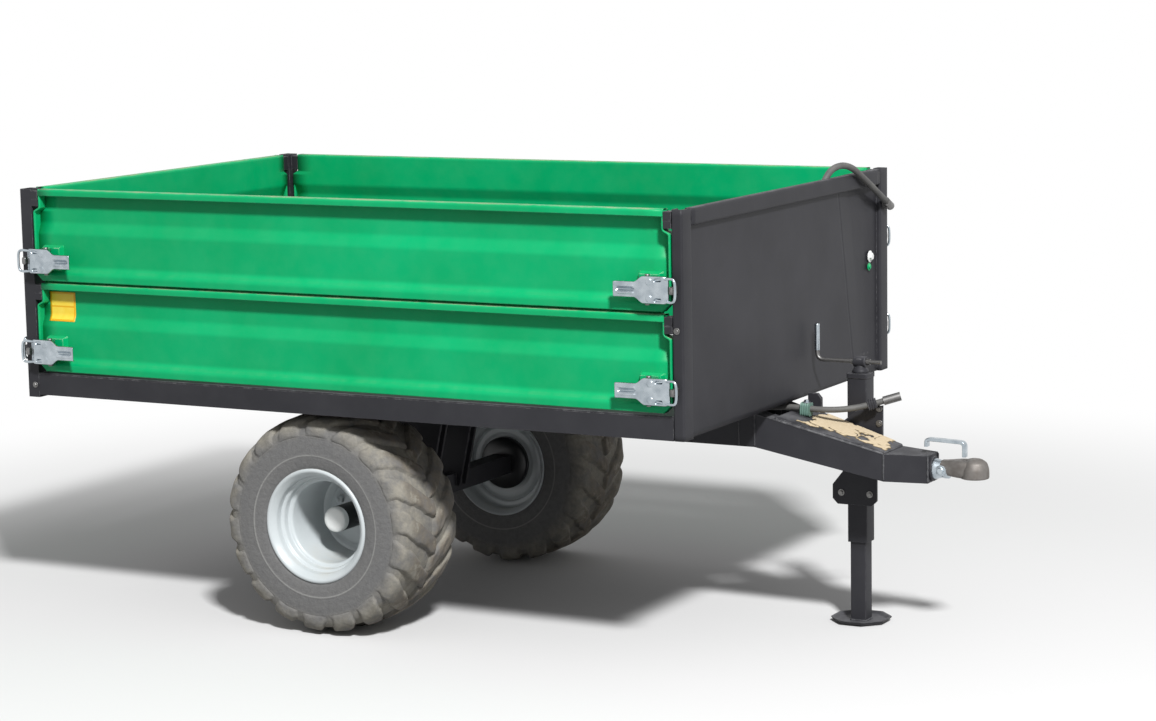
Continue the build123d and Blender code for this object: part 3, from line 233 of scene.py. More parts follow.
def plated(name, dull, bright, rough, metal=1.0, bump_depth=0.0002):
    """Plated or bare steel: metal whose colour and roughness drift with handling, over a fine grain.

    The grain is drawn 2.4 mm wide, coarser than the real drawing marks, so that it shows.
    """
    handled, grain = 25, 2.38  # Widths in millimetres.
    made, tree = material(name)
    where = node(tree, "ShaderNodeTexCoord").outputs["Object"]
    broad = node(tree, "ShaderNodeTexNoise", {"Vector": where, "Scale": 1000 / handled, "Detail": 5.0})
    fine = node(tree, "ShaderNodeTexNoise", {"Vector": where, "Scale": 1000 / grain, "Detail": 3.0})
    colour = node(tree, "ShaderNodeMix", {0: broad.outputs["Fac"], 6: linear(dull), 7: linear(bright)},
                  data_type="RGBA")
    spread = node(tree, "ShaderNodeMapRange",
                  {0: broad.outputs["Fac"], 1: 0.3, 2: 0.7, 3: rough + 0.14, 4: rough})
    bump = node(tree, "ShaderNodeBump",
                {"Height": fine.outputs["Fac"], "Strength": 0.5, "Distance": bump_depth})
    shader = node(tree, "ShaderNodeBsdfPrincipled", {
        "Base Color": colour.outputs[2], "Metallic": metal, "Roughness": spread.outputs[0],
        "Normal": bump.outputs["Normal"]})
    node(tree, "ShaderNodeOutputMaterial", {0: shader.outputs[0]})
    return made


GREEN = enamel("green_enamel", "#009E60", "#00A86A", "#86CFA2", 0.4, 0.9, 0.75, 0.18)
DARK = enamel("dark_grey_enamel", "#28282C", "#313135", "#8E8E90", 0.52, 0.6, 0.6, 0.22, "#77777A")
ZINC_PLATE = plated("zinc_plated_steel", "#7C8891", "#D2DADF", 0.2)
STEEL = plated("bare_drawn_steel", "#5E5D5C", "#8C8B8A", 0.38)
CHROME = plated("hard_chrome_rod", "#C4C8CB", "#D2D6D8", 0.08, 1.0, 0.00002)
for name, made in frame["nodes"].items():
    slot = next(s["material_slot"] for s in frame["record"]["subparts"] if s["node"] == name)
    finish = {"green_paint": GREEN, "dark_paint": DARK, "zinc": ZINC_PLATE, "rim_paint": DARK, "tyre": DARK,
              "hub_paint": DARK, "rubber": RUBBER, "chrome_rod": CHROME}[slot]
    made.data.materials.clear()
    made.data.materials.append(STEEL if name.endswith("fittings") else finish)


# Wheels: 26 x 12.00-12 implement tyres on silver pressed rims. The carcass is moulded rubber with tall
# bars that meet in a forward V, packed with pale dried soil; the rim is rolled sheet with a deep disc.

WHEEL_CENTRE = np.array([0.0, 541.0, 330.0])
BAR_COUNT = 18
BAR_HEIGHT = 14.0
CROWN = 316.0  # Radius of the tread between its bars.
BAR_ARC = 318.0  # Radius on which the bars' lengths are laid round.
MOULDED_RINGS = ((212.0, 1.5, 1.6), (181.0, 1.2, 1.5), (266.0, 0.9, 2.2))  # Radius, height, width.
BODY_SLICES = 264
RIM_SHEET = 4.0
STUDS, STUD_CIRCLE = 5, 140.0


def piece(name, body, slot, finish, points, faces, replaces=()):
    """Puts points in millimetres from the axle and their faces into one mesh that rides on a body."""
    mesh = bpy.data.meshes.new(name)
    mesh.from_pydata(place(points).tolist(), [], faces)
    mesh.materials.append(finish)
    mesh.shade_smooth()
    made = bpy.data.objects.new(name, mesh)
    bpy.context.collection.objects.link(made)
    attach(made, body)
    if replaces:
        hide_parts(*replaces)
    return made


def run_along(line):
    """Distance from a line's first point to each of its points, added up from step to step."""
    return np.concatenate([[0], np.cumsum(np.linalg.norm(np.diff(line, axis=0), axis=1))])


def evenly(line, count):
    """count points at even steps along a line: each coordinate interpolated on the run so far."""
    run = run_along(line)
    at = np.linspace(0, run[-1], count)
    return np.column_stack([np.interp(at, run, line[:, k]) for k in range(line.shape[1])])


def smooth_line(corners, count):
    """count points evenly spaced on a corner-cut line: two rounds of cutting a quarter off each corner."""
    line = np.asarray(corners, float)
    for _ in range(2):
        near = 0.75 * line[:-1] + 0.25 * line[1:]
        far = 0.25 * line[:-1] + 0.75 * line[1:]
        cut = np.stack([near, far], 1).reshape(-1, line.shape[1])
        line = np.vstack([line[:1], cut, line[-1:]])
    return evenly(line, count)


def round_angles(count):
    """count angles in radians at even steps round a circle, from 0."""
    return np.linspace(0, 2 * pi, count, endpoint=False)


def grid_faces(rows, columns, around=False):
    """Four-cornered faces of a rows x columns grid of points; around joins the last row to the first."""
    i, j = np.meshgrid(np.arange(rows if around else rows - 1), np.arange(columns - 1), indexing="ij")
    here, beside = i * columns + j, (i + 1) % rows * columns + j
    return np.stack([here, beside, beside + 1, here + 1], -1).reshape(-1, 4)


def surface(x, y, z, around=False):
    """Points and faces of one grid: x, y and z are stretched to rows x columns and taken point by point."""
    points = np.stack(np.broadcast_arrays(x, y, z), -1)
    return points.reshape(-1, 3), grid_faces(*points.shape[:2], around)


def turned(profile, count):
    """Surface of revolution about the wheel's axle: (r sin a, out, r cos a) for each (out, r) and angle a."""
    out, r = np.asarray(profile, float).T
    a = round_angles(count)[:, None]
    return surface(r * np.sin(a), out, r * np.cos(a), around=True)


def joined(parts):
    """One list of points and one of faces out of several (points, faces) pairs."""
    points, faces, start = [], [], 0
    for some, quads in parts:
        points.append(some)
        faces.append(quads + start)
        start += len(some)
    return np.vstack(points), np.vstack(faces)


def on_side(points, faces, side):
    """Points moved out to the left wheel, or mirrored to the right one with their faces turned over."""
    return (points + WHEEL_CENTRE) * [1, side, 1], faces[:, ::-1] if side < 0 else faces


def carcass():
    """Tyre body: a bulging sidewall with three moulded rings, a round shoulder and a nearly flat crown."""
    half = [(128, 150), (136, 154), (142, 164), (149, 182), (152.5, 205), (153, 232), (151.5, 262),
            (147, 284), (138, 300), (118, 309), (70, 314), (0, CROWN)]
    line = smooth_line(half, 90)
    for radius, height, width in MOULDED_RINGS:
        line[:, 0] += height * np.exp(-((line[:, 1] - radius) / width) ** 2) * (line[:, 0] > 130)
    whole = np.vstack([line * [-1, 1], line[::-1][1:]])
    return turned(whole, BODY_SLICES)


def bar(side, turn):
    """One tread bar: a flat-topped section carried over the crown and down the shoulder.

    Its rear and front edges run back in a V with the share of the way out, and waver by sines, as worn
    rubber does; the top wavers by 1.3 mm.
    """
    corners = [(-9, CROWN), (40, 315.5), (90, 312.5), (122, 307), (142, 294), (149, 276), (151, 264)]
    path = smooth_line(corners, 48)
    step = np.gradient(path, axis=0)
    normal = np.column_stack([-step[:, 1], step[:, 0]])
    normal /= np.linalg.norm(normal, axis=1)[:, None]
    share = np.clip((path[:, 0] + 9) / 155, 0, 1)
    wave = path[:, 0] + 330 - path[:, 1]
    rear = 40 - 120 * share ** 1.12 + 3.0 * np.sin(wave / 17 + 9 * turn) + 1.0 * np.sin(wave / 6.1 + 5 * turn)
    front = 86 - 90 * share ** 1.12 + 3.2 * np.sin(wave / 15 + 4 * turn) + 1.1 * np.sin(wave / 5.3 + 8 * turn)
    run = run_along(path)
    height = np.interp(run, [0, 5, run[-1] - 44, run[-1] - 6, run[-1]], [-4, BAR_HEIGHT, BAR_HEIGHT, 4, -3])
    across = np.array([-0.2, -0.07, -0.01, 0.04, 0.12, 0.25, 0.38, 0.5, 0.62, 0.75, 0.88, 0.96, 1.01, 1.07,
                       1.2])
    lift = np.array([-0.4, 0.1, 0.62, 0.88, 0.98, 1.0, 1.0, 1.0, 1.0, 1.0, 0.98, 0.88, 0.62, 0.1, -0.4])
    along = rear[:, None] + (front - rear)[:, None] * across
    rise = np.where(height[:, None] > 0, height[:, None] * lift, height[:, None])
    rise -= 1.3 * (lift > 0.5) * (1 + np.sin(run[:, None] / 9 + 7 * turn) * np.sin(6 * across + 3 * turn))
    out = path[:, :1] + normal[:, :1] * rise
    radius = path[:, 1:] + normal[:, 1:] * rise
    angle = along / BAR_ARC + turn
    points, faces = surface(radius * np.sin(angle), side * out, radius * np.cos(angle))
    return points, faces[:, ::-1] if side > 0 else faces


def tyre_rubber():
    """Moulded natural rubber, matt, grey with age; pale dried soil packs the bars and dusts the sidewall."""
    clods, crumbs = 58.8, 13.33  # Widths in millimetres.
    made, tree = material("dusty_tyre_rubber")
    where = node(tree, "ShaderNodeTexCoord").outputs["Object"]
    from_axle = node(tree, "ShaderNodeVectorMath", {0: where, 1: tuple(place(WHEEL_CENTRE * [1, 0, 1]))},
                     operation="SUBTRACT")
    flat = node(tree, "ShaderNodeVectorMath", {0: from_axle.outputs[0], 1: (1, 0, 1)}, operation="MULTIPLY")
    radius = node(tree, "ShaderNodeVectorMath", {0: flat.outputs[0]}, operation="LENGTH").outputs["Value"]
    broad = node(tree, "ShaderNodeTexNoise",
                 {"Vector": where, "Scale": 1000 / clods, "Detail": 8.0, "Roughness": 0.68})
    fine = node(tree, "ShaderNodeTexNoise",
                {"Vector": where, "Scale": 1000 / crumbs, "Detail": 6.0, "Roughness": 0.7})
    tread = node(tree, "ShaderNodeMapRange", {0: radius, 1: 0.258, 2: 0.306, 3: 0.06, 4: 0.95})
    patch = node(tree, "ShaderNodeMapRange", {0: broad.outputs["Fac"], 1: 0.36, 2: 0.56, 3: 0.25, 4: 1.0})
    packed = node(tree, "ShaderNodeMath", {0: tread.outputs[0], 1: patch.outputs[0]}, operation="MULTIPLY")
    grey = node(tree, "ShaderNodeMix", {0: fine.outputs["Fac"], 6: linear("#555556"), 7: linear("#7B7B7B")},
                data_type="RGBA")
    from_ring = node(tree, "ShaderNodeMath", {0: radius, 1: MOULDED_RINGS[0][0] / 1000}, operation="SUBTRACT")
    near_ring = node(tree, "ShaderNodeMath", {0: from_ring.outputs[0]}, operation="ABSOLUTE")
    ring = node(tree, "ShaderNodeMapRange", {0: near_ring.outputs[0], 1: 0.001, 2: 0.003, 3: 0.5, 4: 0.0})
    sidewall = node(tree, "ShaderNodeMix", {0: ring.outputs[0], 6: grey.outputs[2], 7: linear("#A3A3A0")},
                    data_type="RGBA")
    tan = node(tree, "ShaderNodeMix", {0: fine.outputs["Fac"], 6: linear("#5C554A"), 7: linear("#867C6D")},
               data_type="RGBA")
    pale = node(tree, "ShaderNodeMix", {0: fine.outputs["Fac"], 6: linear("#747169"), 7: linear("#A9A599")},
                data_type="RGBA")
    groove = node(tree, "ShaderNodeMapRange", {0: radius, 1: 0.318, 2: 0.327, 3: 0.8, 4: 0.0})
    blotch = node(tree, "ShaderNodeMapRange", {0: broad.outputs["Fac"], 1: 0.53, 2: 0.62, 3: 0.0, 4: 1.0})
    share = node(tree, "ShaderNodeMath", {0: groove.outputs[0], 1: blotch.outputs[0]}, operation="MAXIMUM")
    soil = node(tree, "ShaderNodeMix", {0: share.outputs[0], 6: tan.outputs[2], 7: pale.outputs[2]},
                data_type="RGBA")
    colour = node(tree, "ShaderNodeMix", {0: packed.outputs[0], 6: sidewall.outputs[2], 7: soil.outputs[2]},
                  data_type="RGBA")
    bump = node(tree, "ShaderNodeBump", {"Height": fine.outputs["Fac"], "Strength": 0.7, "Distance": 0.004})
    shader = node(tree, "ShaderNodeBsdfPrincipled", {
        "Base Color": colour.outputs[2], "Roughness": 0.88, "IOR": 1.52, "Normal": bump.outputs["Normal"]})
    node(tree, "ShaderNodeOutputMaterial", {0: shader.outputs[0]})
    return made


# Lines of the turned pieces: distance out from the wheel's middle, and radius.
RIM_LINE = [
    (143, 168.5), (146, 167.5), (146.5, 164), (143, 160), (136, 153.5), (130, 149.5), (112, 148.5),
    (108, 146), (106, 141.5), (103, 139.5), (88, 138.5), (84, 136), (82, 130), (79, 127), (60, 126),
    (-92, 125.5), (-98, 130), (-100, 142), (-104, 147.5), (-128, 148.5), (-136, 153.5), (-143, 160),
    (-146.5, 164), (-146, 167.5), (-143, 168.5),
]
DISC_LINE = [
    (-82, 126), (-84, 121), (-87, 114), (-87, 100), (-84.5, 94), (-84.5, 58), (-86, 52), (-86, 40), (-94, 40),
    (-94, 56), (-92.5, 60), (-92.5, 92), (-95, 100), (-95, 116), (-90, 126),
]


def rounded(corners, radius, steps=4):
    """A line with each inner corner replaced by steps + 1 points of a small Bezier arc."""
    corners = np.asarray(corners, float)
    line = [corners[:1]]
    for before, here, after in zip(corners, corners[1:], corners[2:]):
        back, on = before - here, after - here
        reach_back = min(radius, 0.45 * np.linalg.norm(back))
        reach_on = min(radius, 0.45 * np.linalg.norm(on))
        start = here + back / np.linalg.norm(back) * reach_back
        end = here + on / np.linalg.norm(on) * reach_on
        t = np.linspace(0, 1, steps + 1)[:, None]
        line.append((1 - t) ** 2 * start + 2 * t * (1 - t) * here + t ** 2 * end)
    line.append(corners[-1:])
    return np.vstack(line)


def hex_nut(x, y, z, flats, height):
    """A chamfered nut and its stud: (x + r cos a, y + out, z + r sin a) for each (r, out) at six angles."""
    corner = flats / 2 / cos(pi / 6)
    rings = [(corner, 0), (corner, height * 0.86), (corner * 0.93, height), (flats * 0.27, height),
             (flats * 0.27, height + 7), (flats * 0.2, height + 9), (0.01, height + 9)]
    r, out = np.array(rings).T
    a = round_angles(6)[:, None] + 0.3
    return surface(x + r * np.cos(a), y + out, z + r * np.sin(a), around=True)


def wheel_disc():
    """Dished wheel disc with its stud nuts at even angles on their circle."""
    angles = 2 * pi * np.arange(STUDS) / STUDS + 0.25
    return joined([turned(rounded(DISC_LINE, 2.5, 3), 144)] + [
        hex_nut(STUD_CIRCLE / 2 * sin(a), -84.5, STUD_CIRCLE / 2 * cos(a), 24, 13) for a in angles])


RUBBER_TYRE = tyre_rubber()
SILVER = enamel("silver_wheel_enamel", "#B9C0C2", "#C9CFD1", "#DFE3E4", 0.32, 0.5, 0.3)
HUB_BLACK = enamel("black_hub_enamel", "#131416", "#1C1D20", "#5A5A5A", 0.35, 0.3, 0.2, 0.4)
CAP_WHITE = enamel("white_hub_cap_plastic", "#E6E8E6", "#EAECEA", "#F4F4F4", 0.4, 0.1, 0.05)
BARS = [bar(side, (index + (0.5 if side > 0 else 0.0)) * 2 * pi / BAR_COUNT)
        for side in (-1, 1) for index in range(BAR_COUNT)]
HUB_LINE = [(-94, 30), (-94, 84), (-110, 85), (-116, 80), (-116, 30)]
BARREL_LINE = [(-94, 38.2), (22, 38.2), (24, 37), (24, 0.01)]
CAP_LINE = [(20, 37.6), (40, 37.6), (45, 34), (47, 27), (47, 0.01)]
for side, name in ((1, "left"), (-1, "right")):
    body = f"{name}_wheel"
    for made_of, label, slot, finish, stands_for in (
        (joined([carcass()] + BARS), "tyre_with_bars", "tyre", RUBBER_TYRE, [f"{name}_tyre"]),
        (turned(rounded(RIM_LINE, 2.0, 3), 192), "rolled_rim", "rim_paint", SILVER, [f"{name}_rim"]),
        (wheel_disc(), "wheel_disc_and_nuts", "rim_paint", SILVER, []),
        (joined([turned(rounded(BARREL_LINE, 1.0, 2), 96), turned(HUB_LINE, 96)]), "hub_barrel", "hub_paint",
         HUB_BLACK, [f"{name}_hub"]),
        (turned(rounded(CAP_LINE, 3.0, 4), 96), "hub_cap", "hub_paint", CAP_WHITE, []),
    ):
        points, faces = on_side(*made_of, side)
        made = piece(f"{name}_{label}", body, slot, finish, points, faces, replaces=stands_for)
        if label == "rolled_rim":
            wall = made.modifiers.new("sheet", "SOLIDIFY")
            wall.thickness = RIM_SHEET / 1000
            wall.offset = 1 if side < 0 else -1


# Side boards: two to a side, pressed from 3 mm steel sheet and hung from pins at their top corners.
# The rim is folded out and down, the middle band stands forward and the foot is a wide flange;
# a plate is welded across each stepped end, a raised seat carries each latch, and a strip closes the joint.

BOARD_DEPTH = 35.0
SHEET = 3.0
INNER, BAND, OUTER = SHEET / 2, 16.5, BOARD_DEPTH - SHEET / 2  # Depths of the sheet's own middle.
ALONG = 36  # Points from end to end.
END_PLATE = 5.0
SEAT_WIDE, SEAT_TALL, SEAT_POINTS = 78, 84, 30
SIDE_FACE = 725.0
REAR_FACE = -1010.0
BOARD_ENDS = (-965.0, 1192.0)
BOARD_LEVELS = {"lower": (745.0, 1015.0), "upper": (1023.0, 1301.0)}
REAR_POST_FACE, FRONT_POST_FACE = -970.0, 1197.0
LATCH_RISE = 62.0
# From (along, outwards, up) at a board's outer face to (forward, left, up) from the axle.
FACES = {
    "right": (np.array([[1.0, 0, 0], [0, -1, 0], [0, 0, 1]]), np.array([0, -SIDE_FACE, 0])),
    "left": (np.eye(3), np.array([0, SIDE_FACE, 0])),
    "rear": (np.array([[0.0, -1, 0], [1, 0, 0], [0, 0, 1]]), np.array([REAR_FACE, 0, 0])),
}


def onto(face, points):
    """Points of (along, outwards, up) at one outer face of the bed: p M' + start."""
    matrix, start = FACES[face]
    return np.asarray(points) @ matrix.T + start


def true_up(made, sharp=0.6):
    """Merges the doubled points of seams and poles, turns faces out and keeps edges over sharp radians."""
    work = bmesh.new()
    work.from_mesh(made.data)
    bmesh.ops.remove_doubles(work, verts=work.verts, dist=3e-5)
    bmesh.ops.recalc_face_normals(work, faces=work.faces)
    work.to_mesh(made.data)
    work.free()
    made.data.set_sharp_from_angle(angle=sharp)
    return made


def sheet_wall(made, thickness, offset=0.0):
    """Gives an open surface the thickness of its sheet in millimetres."""
    wall = made.modifiers.new("sheet", "SOLIDIFY")
    wall.thickness = thickness / 1000
    wall.offset = offset
    wall.use_even_offset = True
    return made


def board_line(bottom, top):
    """Pressed line of a board as (depth from its inner face, height), its bends rounded to 6 mm."""
    h = top - bottom
    corners = [
        (OUTER, top - 20), (OUTER, top - SHEET / 2), (INNER, top - SHEET / 2), (INNER, top - 0.37 * h),
        (BAND, top - 0.49 * h), (BAND, top - 0.85 * h), (OUTER, top - 0.925 * h), (OUTER, bottom),
    ]
    return evenly(rounded(corners, 6, 4), 150)


def end_setback(z, bottom, top):
    """How far a board's end steps in at height z: 20 at the hinge, 0 along the plate, 26 at the foot."""
    return np.interp(z, [bottom, bottom + 26, top - 68, top - 58, top], [26, 0, 0, 20, 20])


def pressed_sheet(ends, bottom, top):
    """Board sheet: x goes from end to end in u, (depth, z) follows the pressed line, a little buckled."""
    depth, z = board_line(bottom, top).T[:, :, None]
    setback = end_setback(z, bottom, top)
    u = np.linspace(0, 1, ALONG)[None, :]
    x = (ends[0] + setback) * (1 - u) + (ends[1] - setback) * u
    buckle = 0.5 * np.sin(x / 190 + 0.6) * np.sin(pi * u) * np.sin(pi * (z - bottom) / (top - bottom))
    return surface(x, depth - BOARD_DEPTH + buckle - 0.5 * np.sin(pi * u), z)


def end_plate(end, inwards, bottom, top):
    """Plate across a board's end: its stepped outline carried over the board's depth."""
    outline = rounded([(20, top), (20, top - 58), (0, top - 68), (0, bottom + 26), (26, bottom)], 4, 4)
    setback, z = evenly(outline, 60).T[:, :, None]
    depth = np.linspace(INNER, OUTER, 5)
    return surface(end + inwards * (setback + END_PLATE / 2), depth - BOARD_DEPTH, z)


def ramp(value, start, end):
    """Smooth step from 0 at start to 1 at end: 3 t t - 2 t t t."""
    t = np.clip((value - start) / (end - start), 0, 1)
    return t * t * (3 - 2 * t)


def latch_seat(post_face, height, toward):
    """Raised seat: a flat pressed plateau over the middle band that falls to the sheet round its edge."""
    share = np.linspace(0, 1, SEAT_POINTS)
    a, b = share[:, None], share[None, :]
    inside = np.minimum(np.minimum(a, 1 - a) * SEAT_WIDE, np.minimum(b, 1 - b) * SEAT_TALL)
    return surface(post_face - toward * (29 + SEAT_WIDE * a), -22 + 24 * ramp(inside, 0, 9),
                   height - 36 + SEAT_TALL * b)


def facing(axis):
    """Rows of a frame whose last row is the axis: the first two are square to it and to each other."""
    n = np.asarray(axis, float) / np.linalg.norm(axis)
    aside = np.array([0, 0, 1.0]) if abs(n[2]) < 0.9 else np.array([1.0, 0, 0])
    u = np.cross(aside, n)
    u /= np.linalg.norm(u)
    return np.array([u, np.cross(n, u), n])


def spun(profile, count, centre, axis, start=0.0):
    """Surface of revolution: centre + h axis + r (u cos a + v sin a) for each (h, r) and angle a."""
    u, v, n = facing(axis)
    h, r = np.asarray(profile, float).T
    a = round_angles(count)[:, None, None] + start
    ring = np.cos(a) * u + np.sin(a) * v
    points = np.asarray(centre, float) + h[:, None] * n + r[:, None] * ring
    return points.reshape(-1, 3), grid_faces(count, len(h), around=True)


def hex_bolt(centre, axis, flats, height):
    """Hexagon head with chamfered corners on a round washer."""
    washer = [(0, 0.01), (0, flats * 0.92), (2, flats * 0.92), (2.4, flats * 0.88), (2.4, 0.01)]
    corner = flats / 2 / cos(pi / 6)
    head = [(1, 0.01), (1, corner), (height * 0.85, corner), (height, corner * 0.86), (height, 0.01)]
    return joined([spun(washer, 24, centre, axis), spun(head, 6, centre, axis, 0.2)])


def board_pieces(name, body, face, ends, levels, post_faces, node_name):
    """One drop-down board: pressed sheets, end plates with hinge pins, and the seats of its latches."""
    low, high = levels[0][0], levels[-1][1]
    sheets = joined([pressed_sheet(ends, bottom, top) for bottom, top in levels])
    made = piece(f"{name}_pressed_sheet", body, "green_paint", GREEN, onto(face, sheets[0]), sheets[1],
                 replaces=[node_name])
    sheet_wall(true_up(made), SHEET)
    plates = joined([end_plate(end, inwards, low, high) for end, inwards in zip(ends, (1, -1))])
    made = piece(f"{name}_end_plates", body, "green_paint", GREEN, onto(face, plates[0]), plates[1])
    sheet_wall(true_up(made), END_PLATE)
    pin_line = [(0, 0.01), (0, 7), (23, 7), (24.5, 5.5), (24.5, 0.01)]
    pins = joined([spun(pin_line, 24, (end + inwards * 21, -8, high - 30), (-inwards, 0, 0))
                   for end, inwards in zip(ends, (1, -1))])
    true_up(piece(f"{name}_hinge_pins", body, "zinc", STEEL, onto(face, pins[0]), pins[1]))
    seats = joined([latch_seat(post_face, low + LATCH_RISE, toward)
                    for post_face, toward in zip(post_faces, (-1, 1))])
    true_up(piece(f"{name}_latch_seats", body, "green_paint", SEAT_GREEN, onto(face, seats[0]), seats[1]))


STRIP_INSET, STRIP_BELOW, STRIP_ABOVE = 36, 4, 21


def joint_strip(ends, top):
    """Upright strip on a lower board's inner face: x from end to end and z from under the rim to over it."""
    x = np.linspace(ends[0] + STRIP_INSET, ends[1] - STRIP_INSET, ALONG)[:, None]
    z = np.linspace(top - STRIP_BELOW, top + STRIP_ABOVE, 5)[None, :]
    return surface(x, INNER - BOARD_DEPTH, z)


SEAT_GREEN = enamel("scratched_green_enamel", "#009E60", "#00A86A", "#C4DCC4", 0.4, 1.0, 0.05, 0.18)
for side in ("right", "left"):
    for level, span in BOARD_LEVELS.items():
        board_pieces(f"{side}_{level}_board", f"{side}_{level}_side", side, BOARD_ENDS, [span],
                     (REAR_POST_FACE, FRONT_POST_FACE), f"{side}_{level}_board")
    strip, faces = joint_strip(BOARD_ENDS, BOARD_LEVELS["lower"][1])
    sheet_wall(true_up(piece(f"{side}_joint_strip", f"{side}_lower_side", "green_paint", GREEN,
                             onto(side, strip), faces)), SHEET)


# Tailgate: one full-height gate of two panels pressed from the side boards' 3 mm sheet, with plates welded
# across its ends. It hangs from pins at its top between the rear posts, and two latches hold its foot.

GATE_ENDS = (-670.0, 670.0)
GATE_LEVELS = [(745.0, 1018.0), (1019.0, 1301.0)]
GATE_POSTS = (-675.0, 675.0)
board_pieces("tailgate", "rear_gate", "rear", GATE_ENDS, GATE_LEVELS, GATE_POSTS, "tailgate")


# Over-centre latches: zinc-plated pressed levers with turned-down cheeks, riding on a cross pin that pulls
# a bent wire loop against a peg welded to the post. The tail has two ribs, and the plate two round bosses
# and two slots. Lengths run back from the lever's bearing line.

LEVER_NOSE, LATCH_REACH = 22.0, 185.0
LEVER_FACE = 32.0
LEVER_STATIONS = 64
BEARING_IN = 24.5
PIVOT_BACK = 88.0
WIRE_RADIUS = 3.8
PEG_LENGTH = 35.5


def peak(value, centre, width):
    """A round ridge: exp of minus the square of (value - centre) / width."""
    return np.exp(-((value - centre) / width) ** 2)


def latch_lever(bearing, height, toward):
    """Lever shell: across each station the section runs up one cheek, over the plate and down the other."""
    s = np.linspace(LEVER_NOSE, LATCH_REACH, LEVER_STATIONS)[:, None]
    half = 21.5 + 16 * (1 - ramp(s, 96, 126)) - 3 * (1 - ramp(s, LEVER_NOSE, 34))
    drop = 7 + 18 * ramp(s, 52, 64) * (1 - ramp(s, 98, 112))
    bend = 4.0
    q = np.linspace(0, 1, 5)[None, :]
    up = np.concatenate([-half + 0 * q[:, :1], -half + bend * (1 - np.cos(q * pi / 2))], 1)
    up_out = np.concatenate([-drop, -bend + bend * np.sin(q * pi / 2) + 0 * half], 1)
    over = np.linspace(-1, 1, 33)[None, 1:-1] * (half - bend)
    across = np.concatenate([up, over, -up[:, ::-1]], 1)
    out = np.concatenate([up_out, 0 * over, up_out[:, ::-1]], 1)
    tail = ramp(s, 118, 130) * (1 - ramp(s, 172, 180))
    ribs = 4.0 * tail * (peak(across, -10, 3.2) + peak(across, 10, 3.2)) - 5.0 * tail * peak(across, 0, 3.4)
    bosses = 3.5 * ramp(-np.hypot(s - 78, np.abs(across) - 23), -10, -8)
    slots = -15.0 * ramp(s, 42, 44) * (1 - ramp(s, 60, 62)) * peak(np.abs(across), 27, 3.2)
    hollow = -2.5 * peak(s, 104, 12) * peak(across, 0, 14) - 6 * (1 - ramp(s, LEVER_NOSE, 40))
    curl = 3.0 * ramp(s, 172, LATCH_REACH)
    out = out + LEVER_FACE + ribs + bosses + slots + hollow + curl
    return surface(bearing - toward * s, out, height + across)


def latch_wire(bearing, height, toward, tip):
    """Wire loop: a round wire carried along a bow that widens from the cross pin to its tip past the peg."""
    corners = [(PIVOT_BACK + 6, -24, 24), (PIVOT_BACK - 6, -24, 24), (30, -31, 27), (8 - tip, -33, 30),
               (1 - tip, -24, 31), (-tip, 0, 31), (1 - tip, 24, 31), (8 - tip, 33, 30), (30, 31, 27),
               (PIVOT_BACK - 6, 24, 24), (PIVOT_BACK + 6, 24, 24)]
    return wire_tube(smooth_line(corners, 70), WIRE_RADIUS, bearing, height, toward)


def wire_tube(line, radius, bearing, height, toward):
    """Round wire: line + radius (n cos a + b sin a), with n and b square to the line's direction."""
    step = np.gradient(line, axis=0)
    step /= np.linalg.norm(step, axis=1)[:, None]
    n = np.cross(step, [0, 0, 1.0])
    n /= np.linalg.norm(n, axis=1)[:, None]
    b = np.cross(step, n)
    a = round_angles(12)[:, None, None]
    size = radius * np.concatenate([[0.01], np.ones(len(line) - 2), [0.01]])[:, None]
    s, across, out = np.moveaxis(line + size * (n * np.cos(a) + b * np.sin(a)), -1, 0)
    return surface(bearing - toward * s, out, height + across, around=True)


def cross_pin(bearing, height, toward):
    """Cross pin of a latch with a round head outside each cheek."""
    line = [(0, 0.01), (0, 7), (3, 8), (3, 5), (81, 5), (81, 8), (84, 7), (84, 0.01)]
    return spun(line, 20, (bearing - toward * PIVOT_BACK, 19, height - 42), (0, 0, 1))


def squared(wave, power):
    """sign(w) |w| ** power: a sine or cosine that squares a round section up towards a box."""
    return np.sign(wave) * np.abs(wave) ** power


def peg(post_face, height, toward):
    """Peg welded to a post: a squared section carried outwards, its nose drawn in by a smooth step."""
    u = np.linspace(0, 1, 12)[None, :]
    a = round_angles(28)[:, None]
    closed = np.where(u > 0.99, 0.01, 1)
    thick = 6.6 * (1 - 0.25 * ramp(u, 0.8, 1.0)) * closed
    tall = 11.5 * (1 - 0.3 * ramp(u, 0.8, 1.0)) * closed
    along = post_face + toward * (13 + thick * squared(np.cos(a), 0.4))
    up = height + tall * squared(np.sin(a), 0.4)
    return surface(along, PEG_LENGTH * u, up, around=True)


def latch_pieces(name, body, face, post_faces, height, node_name, tips):
    """Both latches of one board, each loop reaching its tip's millimetres past its lever's bearing line."""
    places = [(post_face + toward * BEARING_IN, height, toward)
              for post_face, toward in zip(post_faces, (-1, 1))]
    levers = joined([latch_lever(*each) for each in places])
    made = piece(f"{name}_latch_levers", body, "zinc", ZINC_PLATE, onto(face, levers[0]), levers[1],
                 replaces=[node_name])
    sheet_wall(true_up(made, 0.9), 2.5, -1.0)
    wires = joined([latch_wire(*each, tip) for each, tip in zip(places, tips)])
    true_up(piece(f"{name}_latch_wires", body, "zinc", ZINC_PLATE, onto(face, wires[0]), wires[1]))
    pins = joined([cross_pin(*each) for each in places])
    true_up(piece(f"{name}_latch_pins", body, "zinc", STEEL, onto(face, pins[0]), pins[1]))


